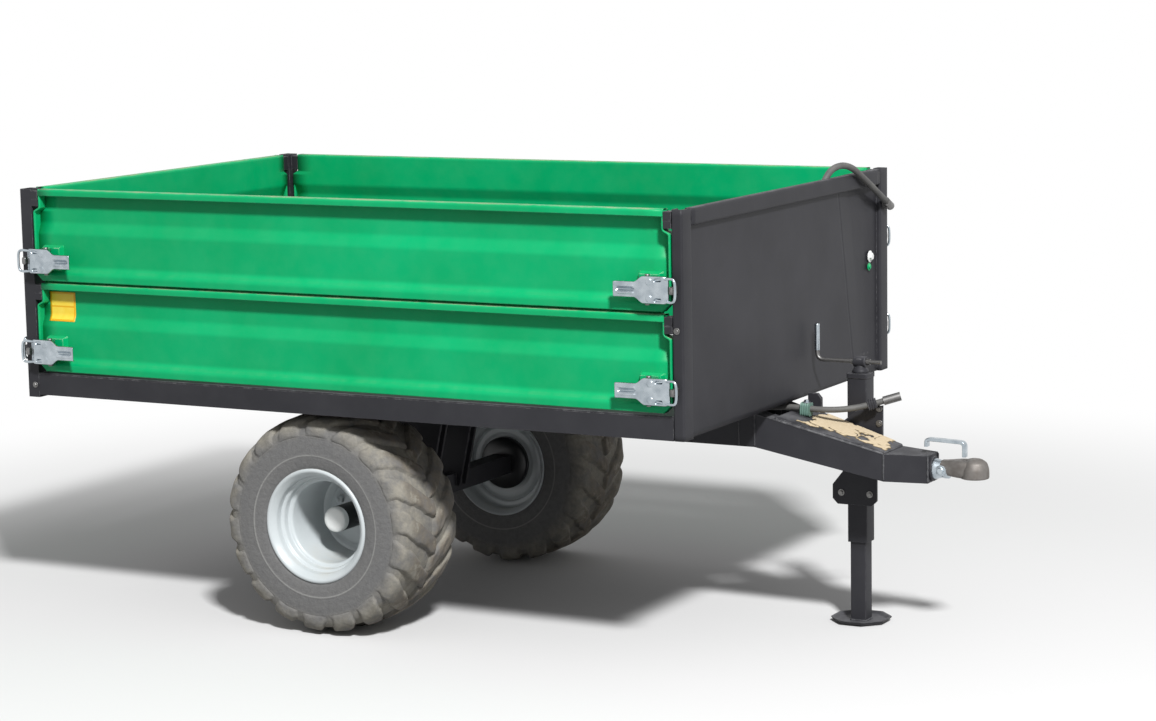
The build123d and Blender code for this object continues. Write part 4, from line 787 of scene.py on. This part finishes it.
for side in ("right", "left"):
    for level, (bottom, top) in BOARD_LEVELS.items():
        latch_pieces(f"{side}_{level}", f"{side}_{level}_side", side, (REAR_POST_FACE, FRONT_POST_FACE),
                     bottom + LATCH_RISE, f"{side}_{level}_latches", (9, 1))
    pegs = joined([peg(post_face, bottom + LATCH_RISE, toward) for bottom, top in BOARD_LEVELS.values()
                   for post_face, toward in ((REAR_POST_FACE, -1), (FRONT_POST_FACE, 1))])
    true_up(piece(f"{side}_pegs", "bed", "zinc", STEEL, onto(side, pegs[0]), pegs[1],
                  replaces=[f"{side}_catches"]))
latch_pieces("tailgate", "rear_gate", "rear", GATE_POSTS, GATE_LEVELS[0][0] + LATCH_RISE, "tailgate_latches",
             (1, 1))
pegs = joined([peg(at, GATE_LEVELS[0][0] + LATCH_RISE, toward) for at, toward in zip(GATE_POSTS, (-1, 1))])
true_up(piece("rear_pegs", "bed", "zinc", STEEL, onto("rear", pegs[0]), pegs[1], replaces=["rear_catches"]))


# Label: a sticker of printed yellow vinyl in two blank cells, 96 by 90 mm. It is pressed onto the lower
# board of the right side near its rear end, and follows the board's fold.

LABEL_X, LABEL_Z = (-938.0, -842.0), (897.0, 987.0)
LABEL_ROWS, LABEL_COLUMNS = 40, 20
LABEL_THICK, LABEL_GAP = 0.4, 0.5


def label_vinyl():
    """Screen-printed vinyl: warm yellow with a slightly deeper border and a line between its two cells."""
    faded_patch = 16.67  # Width in millimetres.
    made, tree = material("yellow_vinyl")
    where = node(tree, "ShaderNodeTexCoord").outputs["Object"]
    at = node(tree, "ShaderNodeSeparateXYZ", {0: where})
    corners = place([(x, 0, z) for x, z in zip(LABEL_X, LABEL_Z)])
    edges = []
    for axis, (low, high) in (("X", corners[:, 0]), ("Z", corners[:, 2])):
        span = node(tree, "ShaderNodeMapRange", {0: at.outputs[axis], 1: low, 2: high, 3: -1.0, 4: 1.0})
        edges.append(node(tree, "ShaderNodeMath", {0: span.outputs[0]}, operation="ABSOLUTE").outputs[0])
    line = node(tree, "ShaderNodeMath", {0: edges[1], 1: 0.05}, operation="LESS_THAN")
    rim = node(tree, "ShaderNodeMath", {0: edges[0], 1: edges[1]}, operation="MAXIMUM")
    border = node(tree, "ShaderNodeMath", {0: rim.outputs[0], 1: 0.86}, operation="GREATER_THAN")
    ink = node(tree, "ShaderNodeMath", {0: border.outputs[0], 1: line.outputs[0]}, operation="MAXIMUM")
    fade = node(tree, "ShaderNodeTexNoise", {"Vector": where, "Scale": 1000 / faded_patch, "Detail": 4.0})
    field = node(tree, "ShaderNodeMix", {0: fade.outputs["Fac"], 6: linear("#F2C81C"), 7: linear("#F6DC5A")},
                 data_type="RGBA")
    colour = node(tree, "ShaderNodeMix", {0: ink.outputs[0], 6: field.outputs[2], 7: linear("#E3A80C")},
                  data_type="RGBA")
    shader = node(tree, "ShaderNodeBsdfPrincipled",
                  {"Base Color": colour.outputs[2], "Roughness": 0.4, "IOR": 1.5})
    node(tree, "ShaderNodeOutputMaterial", {0: shader.outputs[0]})
    return made


line = board_line(*BOARD_LEVELS["lower"])
line = line[(line[:, 0] < BAND + 0.5) & (line[:, 1] < BOARD_LEVELS["lower"][1] - 5)][::-1]
label_z = np.linspace(*LABEL_Z, LABEL_ROWS)[:, None]
label_x = np.linspace(*LABEL_X, LABEL_COLUMNS)[None, :]
label_out = np.interp(label_z, line[:, 1], line[:, 0]) + SHEET / 2 + LABEL_GAP - BOARD_DEPTH
label, faces = surface(label_x, label_out, label_z)
made = piece("blank_label", "right_lower_side", "green_paint", label_vinyl(), onto("right", label), faces)
sheet_wall(made, LABEL_THICK)


# Front wall: one 4 mm sheet folded round both corners, its face set back between them, with a rolled lip
# along its top and a slight crease near the left end. Bolts hold it and the rear posts to the sills.

WALL_FOOT, SILL_TOP, WALL_TOP = 670.0, 738.0, 1301.0
FRONT = 1230.0
CORNER_INNER = 667.0
RECESSED = 1214.0
WALL_SHEET = 4.0
CREASE_Y, CREASE_LEAN = 365.0, 0.21
WALL_ROWS, LIP_COLUMNS = 40, 50


def front_sheet():
    """Plan line of the folded sheet carried from foot to rim; flanges behind the boards start at the sill.

    The set-back face falls back past a slanting crease, and two crossed sines ripple it by 0.5 mm.
    """
    outside = -SIDE_FACE + WALL_SHEET / 2
    half = [(1199, outside + 35), (1199, outside), (FRONT - 2, outside), (FRONT - 2, -CORNER_INNER),
            (RECESSED, -CORNER_INNER)]
    plan = rounded(half, 5, 4)
    stations = np.union1d(np.linspace(-CORNER_INNER + 8, CORNER_INNER - 8, 60), np.linspace(345, 505, 81))
    middle = np.column_stack([np.full(len(stations), RECESSED), stations])
    plan = np.vstack([plan, middle, plan[::-1] * [1, -1]])
    x, y = plan.T[:, :, None]
    v = np.linspace(0, 1, WALL_ROWS)[None, :]
    foot = np.where((x < 1205) & (np.abs(y) < SIDE_FACE - 4), SILL_TOP, WALL_FOOT)
    z = foot + (WALL_TOP - foot) * v
    crease = CREASE_Y + CREASE_LEAN * (1260 - z)
    fall = 0.06 * np.clip(y - crease, 0, 90) * (1 - ramp(y, 590, 655)) + 1.6 * peak(y, crease, 4)
    ripple = 0.5 * np.sin(y / 150) * np.sin(z / 140)
    forward = np.where(np.abs(x - RECESSED) < 1, ripple - fall, 0)
    return surface(x + forward, y, z)


def rolled_lip():
    """Lip section carried from corner to corner: out over the sheet, down its front and back under."""
    section = rounded([(RECESSED - 1, WALL_TOP - 2), (FRONT - 2, WALL_TOP - 2), (FRONT - 2, WALL_TOP - 46),
                       (RECESSED + 5, WALL_TOP - 47)], 12, 8)
    y = np.linspace(-CORNER_INNER + 3, CORNER_INNER - 3, LIP_COLUMNS)[None, :]
    x, z = section.T[:, :, None]
    return surface(x, y, z)


made = piece("front_wall_sheet", "bed", "dark_paint", DARK, *front_sheet(), replaces=["front_board"])
sheet_wall(true_up(made), WALL_SHEET)
made = piece("front_wall_rolled_lip", "bed", "dark_paint", DARK, *rolled_lip())
sheet_wall(true_up(made), WALL_SHEET)
true_up(piece("wall_bolts", "bed", "zinc", STEEL, *joined([
    hex_bolt((x, side * SIDE_FACE, z), (0, side, 0), 10, 5)
    for x, z, side in ((1211, 972, -1), (-984, 700, -1), (-984, 700, 1), (1211, 972, 1))])))
wall_front = RECESSED + WALL_SHEET / 2
true_up(piece("wall_capped_bolt", "bed", "zinc", CAP_WHITE,
              *hex_bolt((wall_front, 612, 1034), (1, 0, 0), 20, 10)))
true_up(piece("wall_green_plug", "bed", "green_paint", GREEN,
              *hex_bolt((wall_front, 604, 1003), (1, 0, 0), 13, 6)))


# Drawbar: welded box rails that turn down at the kink and close into a nose, under a welded top plate.
# Ripple-like weld beads mark the joints, and dried pale soil lies on the plate.

KINK, NOSE, NOSE_END = 1160.0, 1541.0, 1663.0
RAIL_TOP, RAIL_FALL = 653.0, 103.0
KINK_HALF, NOSE_HALF = 125.0, 74.0
TOP_PLATE, PLATE_START = 6.0, KINK + 60


def high(x):
    """Upper face of the drawbar behind and past its kink."""
    return RAIL_TOP - RAIL_FALL * np.clip((x - KINK) / (NOSE - KINK), 0, None)


def half_width(x):
    """Half the drawbar's width: even to the kink, then straight in to the nose."""
    return KINK_HALF - (KINK_HALF - NOSE_HALF) * np.clip((x - KINK) / (NOSE - KINK), 0, 1)


def bead(start, end, radius):
    """Weld bead: a round section carried in a line, its radius swelling at every 4 mm of ripple."""
    start, end = np.asarray(start, float), np.asarray(end, float)
    length = np.linalg.norm(end - start)
    count = max(int(length / 1.3), 8)
    t = np.linspace(0, 1, count)
    u, v, n = facing(end - start)
    swell = 1 + 0.16 * np.sin(t * length * 2 * pi / 4.0) + 0.08 * np.sin(t * length * 0.31)
    size = radius * swell * np.clip(np.minimum(t, 1 - t) * length / radius, 0.01, 1) ** 0.5
    a = round_angles(10)[:, None, None]
    points = start + (end - start) * t[:, None] + size[:, None] * (np.cos(a) * u + np.sin(a) * v)
    return points.reshape(-1, 3), grid_faces(10, count, around=True)


beads = []
for side in (-1, 1):
    beads += [
        bead((KINK, side * KINK_HALF, 555), (KINK, side * KINK_HALF, 651), 3.2),
        bead((KINK - 50, side * KINK_HALF, 556), (KINK - 50, side * KINK_HALF, 650), 2.6),
        bead((NOSE, side * NOSE_HALF, 472), (NOSE, side * NOSE_HALF, 548), 3.0),
        bead((KINK, side * (KINK_HALF - 1), 651), (NOSE, side * (NOSE_HALF - 1), 549), 2.2),
        bead((PLATE_START, side * (half_width(PLATE_START) - 3), high(PLATE_START) + 1),
             (NOSE, side * (NOSE_HALF - 3), high(NOSE) + 1), 3.0),
        bead((NOSE_END, side * 40, 469), (NOSE_END, side * 40, 545), 3.0),
    ]
beads += [
    bead((PLATE_START, -112, high(PLATE_START) + 3), (PLATE_START, 112, high(PLATE_START) + 3), 3.0),
    bead((NOSE, -70, 552), (NOSE, 70, 552), 3.4),
    bead((1237, 86, 638), (1279, 86, 627), 3.0),
]
WELD = enamel("painted_weld_beads", "#313135", "#48484B", "#8A8A8C", 0.45, 0.5, 0.1, 0.3, "#77777A")
true_up(piece("drawbar_weld_beads", "chassis", "dark_paint", WELD, *joined(beads)))


def value_noise(x, y, cell, seed):
    """Smooth noise: random values at lattice points, blended over each cell by 3 t t - 2 t t t."""
    size = 64
    values = np.random.default_rng(seed).random((size, size))
    i, j = np.floor(x / cell).astype(int), np.floor(y / cell).astype(int)
    s, t = ramp(x / cell - i, 0, 1), ramp(y / cell - j, 0, 1)
    near, far = (values[i % size, k % size] * (1 - s) + values[(i + 1) % size, k % size] * s
                 for k in (j, j + 1))
    return near * (1 - t) + far * t


def dried_soil():
    """Cracked dried soil: pale and matt on top, with a painted shade where the layer thins out to its edge.
    """
    crumbs = 8.33  # Width in millimetres.
    made, tree = material("dried_soil")
    where = node(tree, "ShaderNodeTexCoord").outputs["Object"]
    at = node(tree, "ShaderNodeSeparateXYZ", {0: where})
    slope = -RAIL_FALL / (NOSE - KINK)
    plane = node(tree, "ShaderNodeMath", {0: at.outputs["X"], 1: -slope, 2: at.outputs["Z"]},
                 operation="MULTIPLY_ADD")
    level = (RAIL_TOP + TOP_PLATE) / 1000 - slope * float(place([KINK, 0, 0])[0])
    # Height over the plate: where the layer thins to its edge, the colour goes to a painted shade, #4E3F1C.
    thick = node(tree, "ShaderNodeMapRange", {0: plane.outputs[0], 1: level + 0.0003, 2: level + 0.0019})
    fine = node(tree, "ShaderNodeTexNoise",
                {"Vector": where, "Scale": 1000 / crumbs, "Detail": 6.0, "Roughness": 0.7})
    pale = node(tree, "ShaderNodeMix", {0: fine.outputs["Fac"], 6: linear("#B7A281"), 7: linear("#DACCB2")},
                data_type="RGBA")
    colour = node(tree, "ShaderNodeMix", {0: thick.outputs[0], 6: linear("#4E3F1C"), 7: pale.outputs[2]},
                  data_type="RGBA")
    bump = node(tree, "ShaderNodeBump", {"Height": fine.outputs["Fac"], "Strength": 0.6, "Distance": 0.001})
    shader = node(tree, "ShaderNodeBsdfPrincipled", {
        "Base Color": colour.outputs[2], "Roughness": 0.95, "IOR": 1.4, "Normal": bump.outputs["Normal"]})
    node(tree, "ShaderNodeOutputMaterial", {0: shader.outputs[0]})
    return made


def soil_patch():
    """A layer over the top plate whose height is a noise that sinks under the steel outside the patch."""
    rows, columns = 190, 120
    x, y = np.meshgrid(np.linspace(1258, 1540, rows), np.linspace(-1, 1, columns), indexing="ij")
    y = y * (half_width(x) - 3.5)
    v = y / half_width(x)
    warp = 34 * (value_noise(x, y + 300, 26, 4) - 0.5) + 16 * (value_noise(x, y + 300, 9, 7) - 0.5)
    main = np.minimum(np.minimum(x - 1284, 1436 - x - 40 * v), np.minimum((v + 0.5) * 70, (1.3 - v) * 60))
    neck = np.minimum(np.minimum(x - 1380, 1520 - x), (v - 0.3) * 60)
    tip = np.minimum(np.minimum(x - 1462, 1528 - x), np.minimum((v + 0.5) * 50, (1.4 - v) * 50))
    cut = 30 * peak(value_noise(x, y + 300, 47, 12), 0.5, 0.03) * (value_noise(x, y + 300, 60, 5) > 0.5)
    cover = np.maximum(np.maximum(main, neck), tip) + warp - cut
    z = high(x) + TOP_PLATE + np.clip(cover * 0.35, -1.5, 2.2)
    z += 0.4 * value_noise(x, y + 300, 5, 2) * (cover > 0)
    return surface(x, y, z)


piece("soil_on_drawbar_plate", "chassis", "dark_paint", dried_soil(), *soil_patch())


# Hose clamps: ribbed halves of moulded plastic round the hose, drawn together by a bolt from above. The
# first stands on the drawbar's plate, the second on the jack's bracket.

PLATE_CLAMP_X, PLATE_CLAMP_Y = 1265.0, 11.0


def clamp_body(centre, axis, wide, tall, length):
    """Squared circle w, h carried along the hose, its sides rippled by ribs 7 mm apart, its ends closed."""
    across, up, along = facing(axis)
    s = np.linspace(-length / 2, length / 2, 40)
    s = np.concatenate([s[:1], s, s[-1:]])[None, :]
    end = np.concatenate([[0.01], np.ones(40), [0.01]])[None, :]
    rib = end * (1 + 0.045 * np.cos(2 * pi * s / 7))
    a = round_angles(40)[:, None]
    w = wide * rib * squared(np.cos(a), 0.45)
    h = tall * rib * squared(np.sin(a), 0.45)
    points = np.asarray(centre, float) + s[..., None] * along + w[..., None] * across + h[..., None] * up
    return points.reshape(-1, 3), grid_faces(40, 42, around=True)


TEAL = enamel("aged_teal_plastic", "#547468", "#72918A", "#A8C4B8", 0.5, 0.3, 0.2, 0.4)
plate_clamp = clamp_body((PLATE_CLAMP_X, PLATE_CLAMP_Y, 650.5), (130, 2, -5.5), 16, 19.5, 28)
true_up(piece("hose_clamp_on_plate", "chassis", "dark_paint", TEAL, *plate_clamp, replaces=["hose_clips"]))
true_up(piece("hose_clamp_on_bracket", "chassis", "dark_paint", DARK,
              *clamp_body((1442, 84, 665), (64, 29, 20), 19, 15, 26)))
true_up(piece("hose_clamp_bolt", "chassis", "zinc", ZINC_PLATE,
              *hex_bolt((PLATE_CLAMP_X, PLATE_CLAMP_Y, 670), (0, 0, 1), 13, 8)))


# Ball coupling: a cast steel head on a turned and plated shank that goes through a collar into the
# drawbar's nose. Two bolts cross the head's neck, and a bent release handle of flat bar stands above it.

BALL, BALL_HEIGHT = 1790.0, 505.0


def cast_head():
    """Coupling neck: a squared circle w, h carried forward while both swell to the ball, its foot flat."""
    u = np.linspace(0, 1, 30)[None, :]
    a = round_angles(48)[:, None]
    end = np.where((u < 0.001) | (u > 0.999), 0.01, 1)
    w = end * (24 + 12 * ramp(u, 0.0, 0.8))
    h = end * (21 + 6 * ramp(u, 0.0, 0.7))
    x = 1690 + 102 * u
    y = w * squared(np.cos(a), 0.62)
    z = BALL_HEIGHT + 6 + h * squared(np.sin(a), 0.62)
    return surface(x, y, np.clip(z, 486, None), around=True)


CAST_STEEL = plated("weathered_cast_steel", "#57504A", "#8C8986", 0.48, 0.75, 0.0008)
shell = rounded([(-20, 25.2), (-20, 41.5), (-8, 41.5), (8, 41), (26, 35), (36, 20), (37.5, 0.01)], 6, 5)
cavity = [(24, 0.01), (22, 10), (16, 19), (8, 23.5), (0, 25.2), (-20, 25.2)]
shank = rounded([(12, 0.01), (12, 30), (20, 30), (42, 24), (45, 26), (60, 26), (60, 0.01)], 2, 3)
collar = rounded([(0, 0.01), (0, 36), (15, 36), (15, 0.01)], 2, 3)
head = joined([
    cast_head(),
    spun(np.vstack([cavity, shell[1:]]), 72, (BALL, 0, BALL_HEIGHT), (0, 0, 1)),
    spun([(28, 0.01), (28, 9), (36, 9), (38, 7), (38, 0.01)], 24, (BALL - 2, 0, BALL_HEIGHT), (0, 0, 1)),
])
true_up(piece("coupling_cast_head", "chassis", "zinc", CAST_STEEL, *head, replaces=["coupling_head"]))
true_up(piece("coupling_shank", "chassis", "zinc", ZINC_PLATE,
              *spun(shank, 56, (NOSE_END - 8, 0, BALL_HEIGHT), (1, 0, 0))))
true_up(piece("coupling_collar", "chassis", "dark_paint", DARK,
              *spun(collar, 56, (NOSE_END - 8, 0, BALL_HEIGHT), (1, 0, 0))))
true_up(piece("coupling_bolts", "chassis", "zinc", ZINC_PLATE, *joined([
    hex_bolt((1697, side * 25, BALL_HEIGHT), (0, side, 0), 17, 10) for side in (-1, 1)])))


def flat_bar(corners, wide, thick, bend):
    """Bent flat bar: a rounded box section carried along a line in the trailer's middle plane."""
    line = rounded(corners, bend, 6)
    step = np.gradient(line, axis=0)
    step /= np.linalg.norm(step, axis=1)[:, None]
    normal = np.column_stack([-step[:, 1], step[:, 0]])
    line = np.vstack([line[:1], line, line[-1:]])
    normal = np.vstack([normal[:1], normal, normal[-1:]])
    size = np.concatenate([[0.001], np.ones(len(line) - 2), [0.001]])
    a = round_angles(28)[:, None]
    across = wide / 2 * squared(np.cos(a), 0.25) * size
    out = thick / 2 * squared(np.sin(a), 0.25) * size
    return surface(line[:, 0] + normal[:, 0] * out, across, line[:, 1] + normal[:, 1] * out, around=True)


handle = flat_bar([(1645, 568), (1645, 590), (1760, 586), (1760, 545)], 22, 10, 13)
true_up(piece("coupling_release_handle", "chassis", "zinc", ZINC_PLATE, *handle,
              replaces=["coupling_handle"]))


# Jack: a square telescopic tube beside the drawbar with a cast gear head, a bent crank of round bar
# and a leg that ends in an eight-sided dished foot, held by a bolted bracket.

JACK_X, JACK_Y = 1381.0, 142.0
TUBE_TOP, CRANK_HEIGHT, CRANK_X = 747.0, 779.0, 1243.0


def square_tube(half, bottom, top, corner):
    """Square tube with round corners: a clipped circle plus a small one, carried up and closed by caps."""
    a = round_angles(64)[:, None]
    flat = half - corner
    reach = np.array([[0.01, 1.0, 1.0, 0.01]])
    z = np.array([[bottom, bottom, top, top]])
    cx = np.clip(1.42 * np.cos(a) * half, -flat, flat) + corner * np.cos(a)
    cy = np.clip(1.42 * np.sin(a) * half, -flat, flat) + corner * np.sin(a)
    return surface(JACK_X + cx * reach, JACK_Y + cy * reach, z, around=True)


neck = rounded([(0, 0.01), (0, 25), (8, 24), (20, 13), (34, 12), (42, 17), (42, 0.01)], 4, 4)
head_barrel = [(-19, 0.01), (-19, 15), (-17, 16.5), (17, 16.5), (19, 15), (19, 0.01)]
outer = joined([
    square_tube(31, 243, TUBE_TOP - 10, 6),
    square_tube(33, TUBE_TOP - 14, TUBE_TOP, 7),
    spun(neck, 40, (JACK_X, JACK_Y, TUBE_TOP), (0, 0, 1)),
    spun(head_barrel, 40, (JACK_X, JACK_Y, CRANK_HEIGHT), (1, 0, 0)),
])
true_up(piece("jack_outer_tube", "chassis", "dark_paint", DARK, *outer, replaces=["jack_tube"]))


def round_bar(corners, radius, bend, y):
    """Bent round bar: a circle carried along a line with wide bends in the upright plane at y."""
    line = rounded(corners, bend, 10)
    step = np.gradient(line, axis=0)
    step /= np.linalg.norm(step, axis=1)[:, None]
    line = np.vstack([line[:1] - step[:1] * 0.01, line, line[-1:] + step[-1:] * 0.01])
    step = np.vstack([step[:1], step, step[-1:]])
    size = radius * np.concatenate([[0.01], np.ones(len(line) - 2), [0.01]])
    a = round_angles(20)[:, None]
    x, z = line[:, 0] - step[:, 1] * size * np.sin(a), line[:, 1] + step[:, 0] * size * np.sin(a)
    return surface(x, y + size * np.cos(a), z, around=True)


stop_collar = [(0, 0.01), (0, 9), (12, 9), (12, 0.01)]
crank = joined([
    round_bar([(1446, CRANK_HEIGHT), (CRANK_X, CRANK_HEIGHT), (CRANK_X, 886)], 6.2, 22, JACK_Y),
    spun(stop_collar, 24, (JACK_X + 19, JACK_Y, CRANK_HEIGHT), (1, 0, 0)),
    spun(stop_collar, 24, (JACK_X - 19, JACK_Y, CRANK_HEIGHT), (-1, 0, 0)),
])
true_up(piece("jack_crank_bar", "chassis", "zinc", STEEL, *crank, replaces=["jack_crank"]))
# The upright grip is plated bright against the dark bare arm: partly a grip sleeve, partly a painted
# highlight where the lamp falls on it.
grip = rounded([(0, 0.01), (0, 7.6), (78, 7.6), (80, 6.0), (80, 0.01)], 1.0, 2)
true_up(piece("jack_crank_grip_painted_highlight", "chassis", "zinc", ZINC_PLATE,
              *spun(grip, 24, (CRANK_X, JACK_Y, 806), (0, 0, 1))))


def dished_foot():
    """Eight-sided dish: a round-cornered octagon's radius times a section that turns up at its rim."""
    a = round_angles(96)[:, None]
    fold = (a + pi / 8) % (pi / 4) - pi / 8
    octagon = 1 / np.cos(fold) ** 0.9
    reach = np.array([[0.01, 30, 62, 67, 71, 76, 81, 84, 83, 79, 74, 69, 60, 0.01]])
    z = np.array([[5.0, 5.0, 5.0, 5.6, 7.5, 11.5, 14.0, 13.6, 10.2, 6.5, 2.6, 0.6, 0.0, 0.0]])
    x, y = JACK_X + reach * octagon * np.cos(a), JACK_Y + reach * octagon * np.sin(a)
    return surface(x, y, z, around=True)


LEG_HALF = 25.0
leg = joined([square_tube(LEG_HALF, 4, 517, 5), dished_foot()])
true_up(piece("jack_inner_leg_and_foot", "jack_slider", "dark_paint", DARK, *leg, replaces=["jack_leg"]))
leg_corners = [(JACK_X + LEG_HALF * i, JACK_Y - LEG_HALF * j, 6)
               for i, j in ((-1, 1), (1, 1), (1, -1), (-1, -1))]
foot_beads = [bead(start, end, 3.0) for start, end in zip(leg_corners, leg_corners[1:] + leg_corners[:1])]
true_up(piece("jack_foot_welds", "jack_slider", "dark_paint", DARK, *joined(foot_beads)))
true_up(piece("jack_bracket_bolts", "chassis", "zinc", STEEL, *joined([
    hex_bolt((x, 103, z), (0, -1, 0), 11, 7)
    for x, z in ((1456, 650), (1456, 606), (1335, 392), (1425, 392))])))


# Surroundings: a plain pale floor that fades into a white world, and one lamp high over the front right
# corner, aimed by the shadows under the boards' rims. None of them is part of the trailer.

FLOOR_HALF = 30.0
FADE_START, FADE_END = 1.9, 4.2
FILL_LIGHT = 0.38
LAMP_PLACE, LAMP_TARGET = Vector((9.0, -10.0, 12.7)), Vector((0.0, 0.0, 0.7))
LAMP_POWER, LAMP_WIDTH = 4300, 1.8


def seen_rays(tree):
    """1 for camera, glossy and transmission rays, 0 for those that only carry light: the largest of three."""
    ray = node(tree, "ShaderNodeLightPath").outputs
    seen = ray["Is Camera Ray"]
    for other in ("Is Glossy Ray", "Is Transmission Ray"):
        seen = node(tree, "ShaderNodeMath", {0: seen, 1: ray[other]}, operation="MAXIMUM").outputs[0]
    return seen


floor_mesh = bpy.data.meshes.new("floor")
floor_corners = FLOOR_HALF * np.array([(-1, -1, 0), (1, -1, 0), (1, 1, 0), (-1, 1, 0)])
floor_mesh.from_pydata(floor_corners.tolist(), [], [(0, 1, 2, 3)])
floor = bpy.data.objects.new("floor", floor_mesh)
bpy.context.collection.objects.link(floor)
floor.location.z = -0.0005
paper, tree = material("pale_floor")
seen = seen_rays(tree)
where = node(tree, "ShaderNodeTexCoord").outputs["Object"]
away = node(tree, "ShaderNodeVectorMath", {0: where}, operation="LENGTH").outputs["Value"]
fade = node(tree, "ShaderNodeMapRange", {0: away, 1: FADE_START, 2: FADE_END},
            interpolation_type="SMOOTHSTEP")
white = node(tree, "ShaderNodeMath", {0: fade.outputs[0], 1: seen}, operation="MULTIPLY")
lit = node(tree, "ShaderNodeBsdfDiffuse", {"Color": linear("#DEDEDE")})
dim = node(tree, "ShaderNodeBsdfDiffuse", {"Color": linear("#8C8C8C")})
near = node(tree, "ShaderNodeMixShader", {0: seen, 1: dim.outputs[0], 2: lit.outputs[0]})
far = node(tree, "ShaderNodeEmission", {"Color": (1, 1, 1, 1), "Strength": 1.0})
both = node(tree, "ShaderNodeMixShader", {0: white.outputs[0], 1: near.outputs[0], 2: far.outputs[0]})
node(tree, "ShaderNodeOutputMaterial", {0: both.outputs[0]})
floor_mesh.materials.append(paper)

world = bpy.data.worlds.new("surroundings")
world.use_nodes = True
bpy.context.scene.world = world
tree = world.node_tree
tree.nodes.clear()
strength = node(tree, "ShaderNodeMapRange", {0: seen_rays(tree), 1: 0.0, 2: 1.0, 3: FILL_LIGHT, 4: 1.0})
sky = node(tree, "ShaderNodeBackground", {"Color": (1, 1, 1, 1), "Strength": strength.outputs[0]})
node(tree, "ShaderNodeOutputWorld", {0: sky.outputs[0]})

lamp_data = bpy.data.lights.new("key_lamp", "AREA")
lamp_data.energy = LAMP_POWER
lamp_data.size = LAMP_WIDTH
lamp = bpy.data.objects.new("key_lamp", lamp_data)
bpy.context.collection.objects.link(lamp)
lamp.location = LAMP_PLACE
lamp.rotation_mode = "QUATERNION"
lamp.rotation_quaternion = (LAMP_TARGET - LAMP_PLACE).to_track_quat("-Z", "Y")
bpy.context.scene.view_settings.view_transform = "Standard"
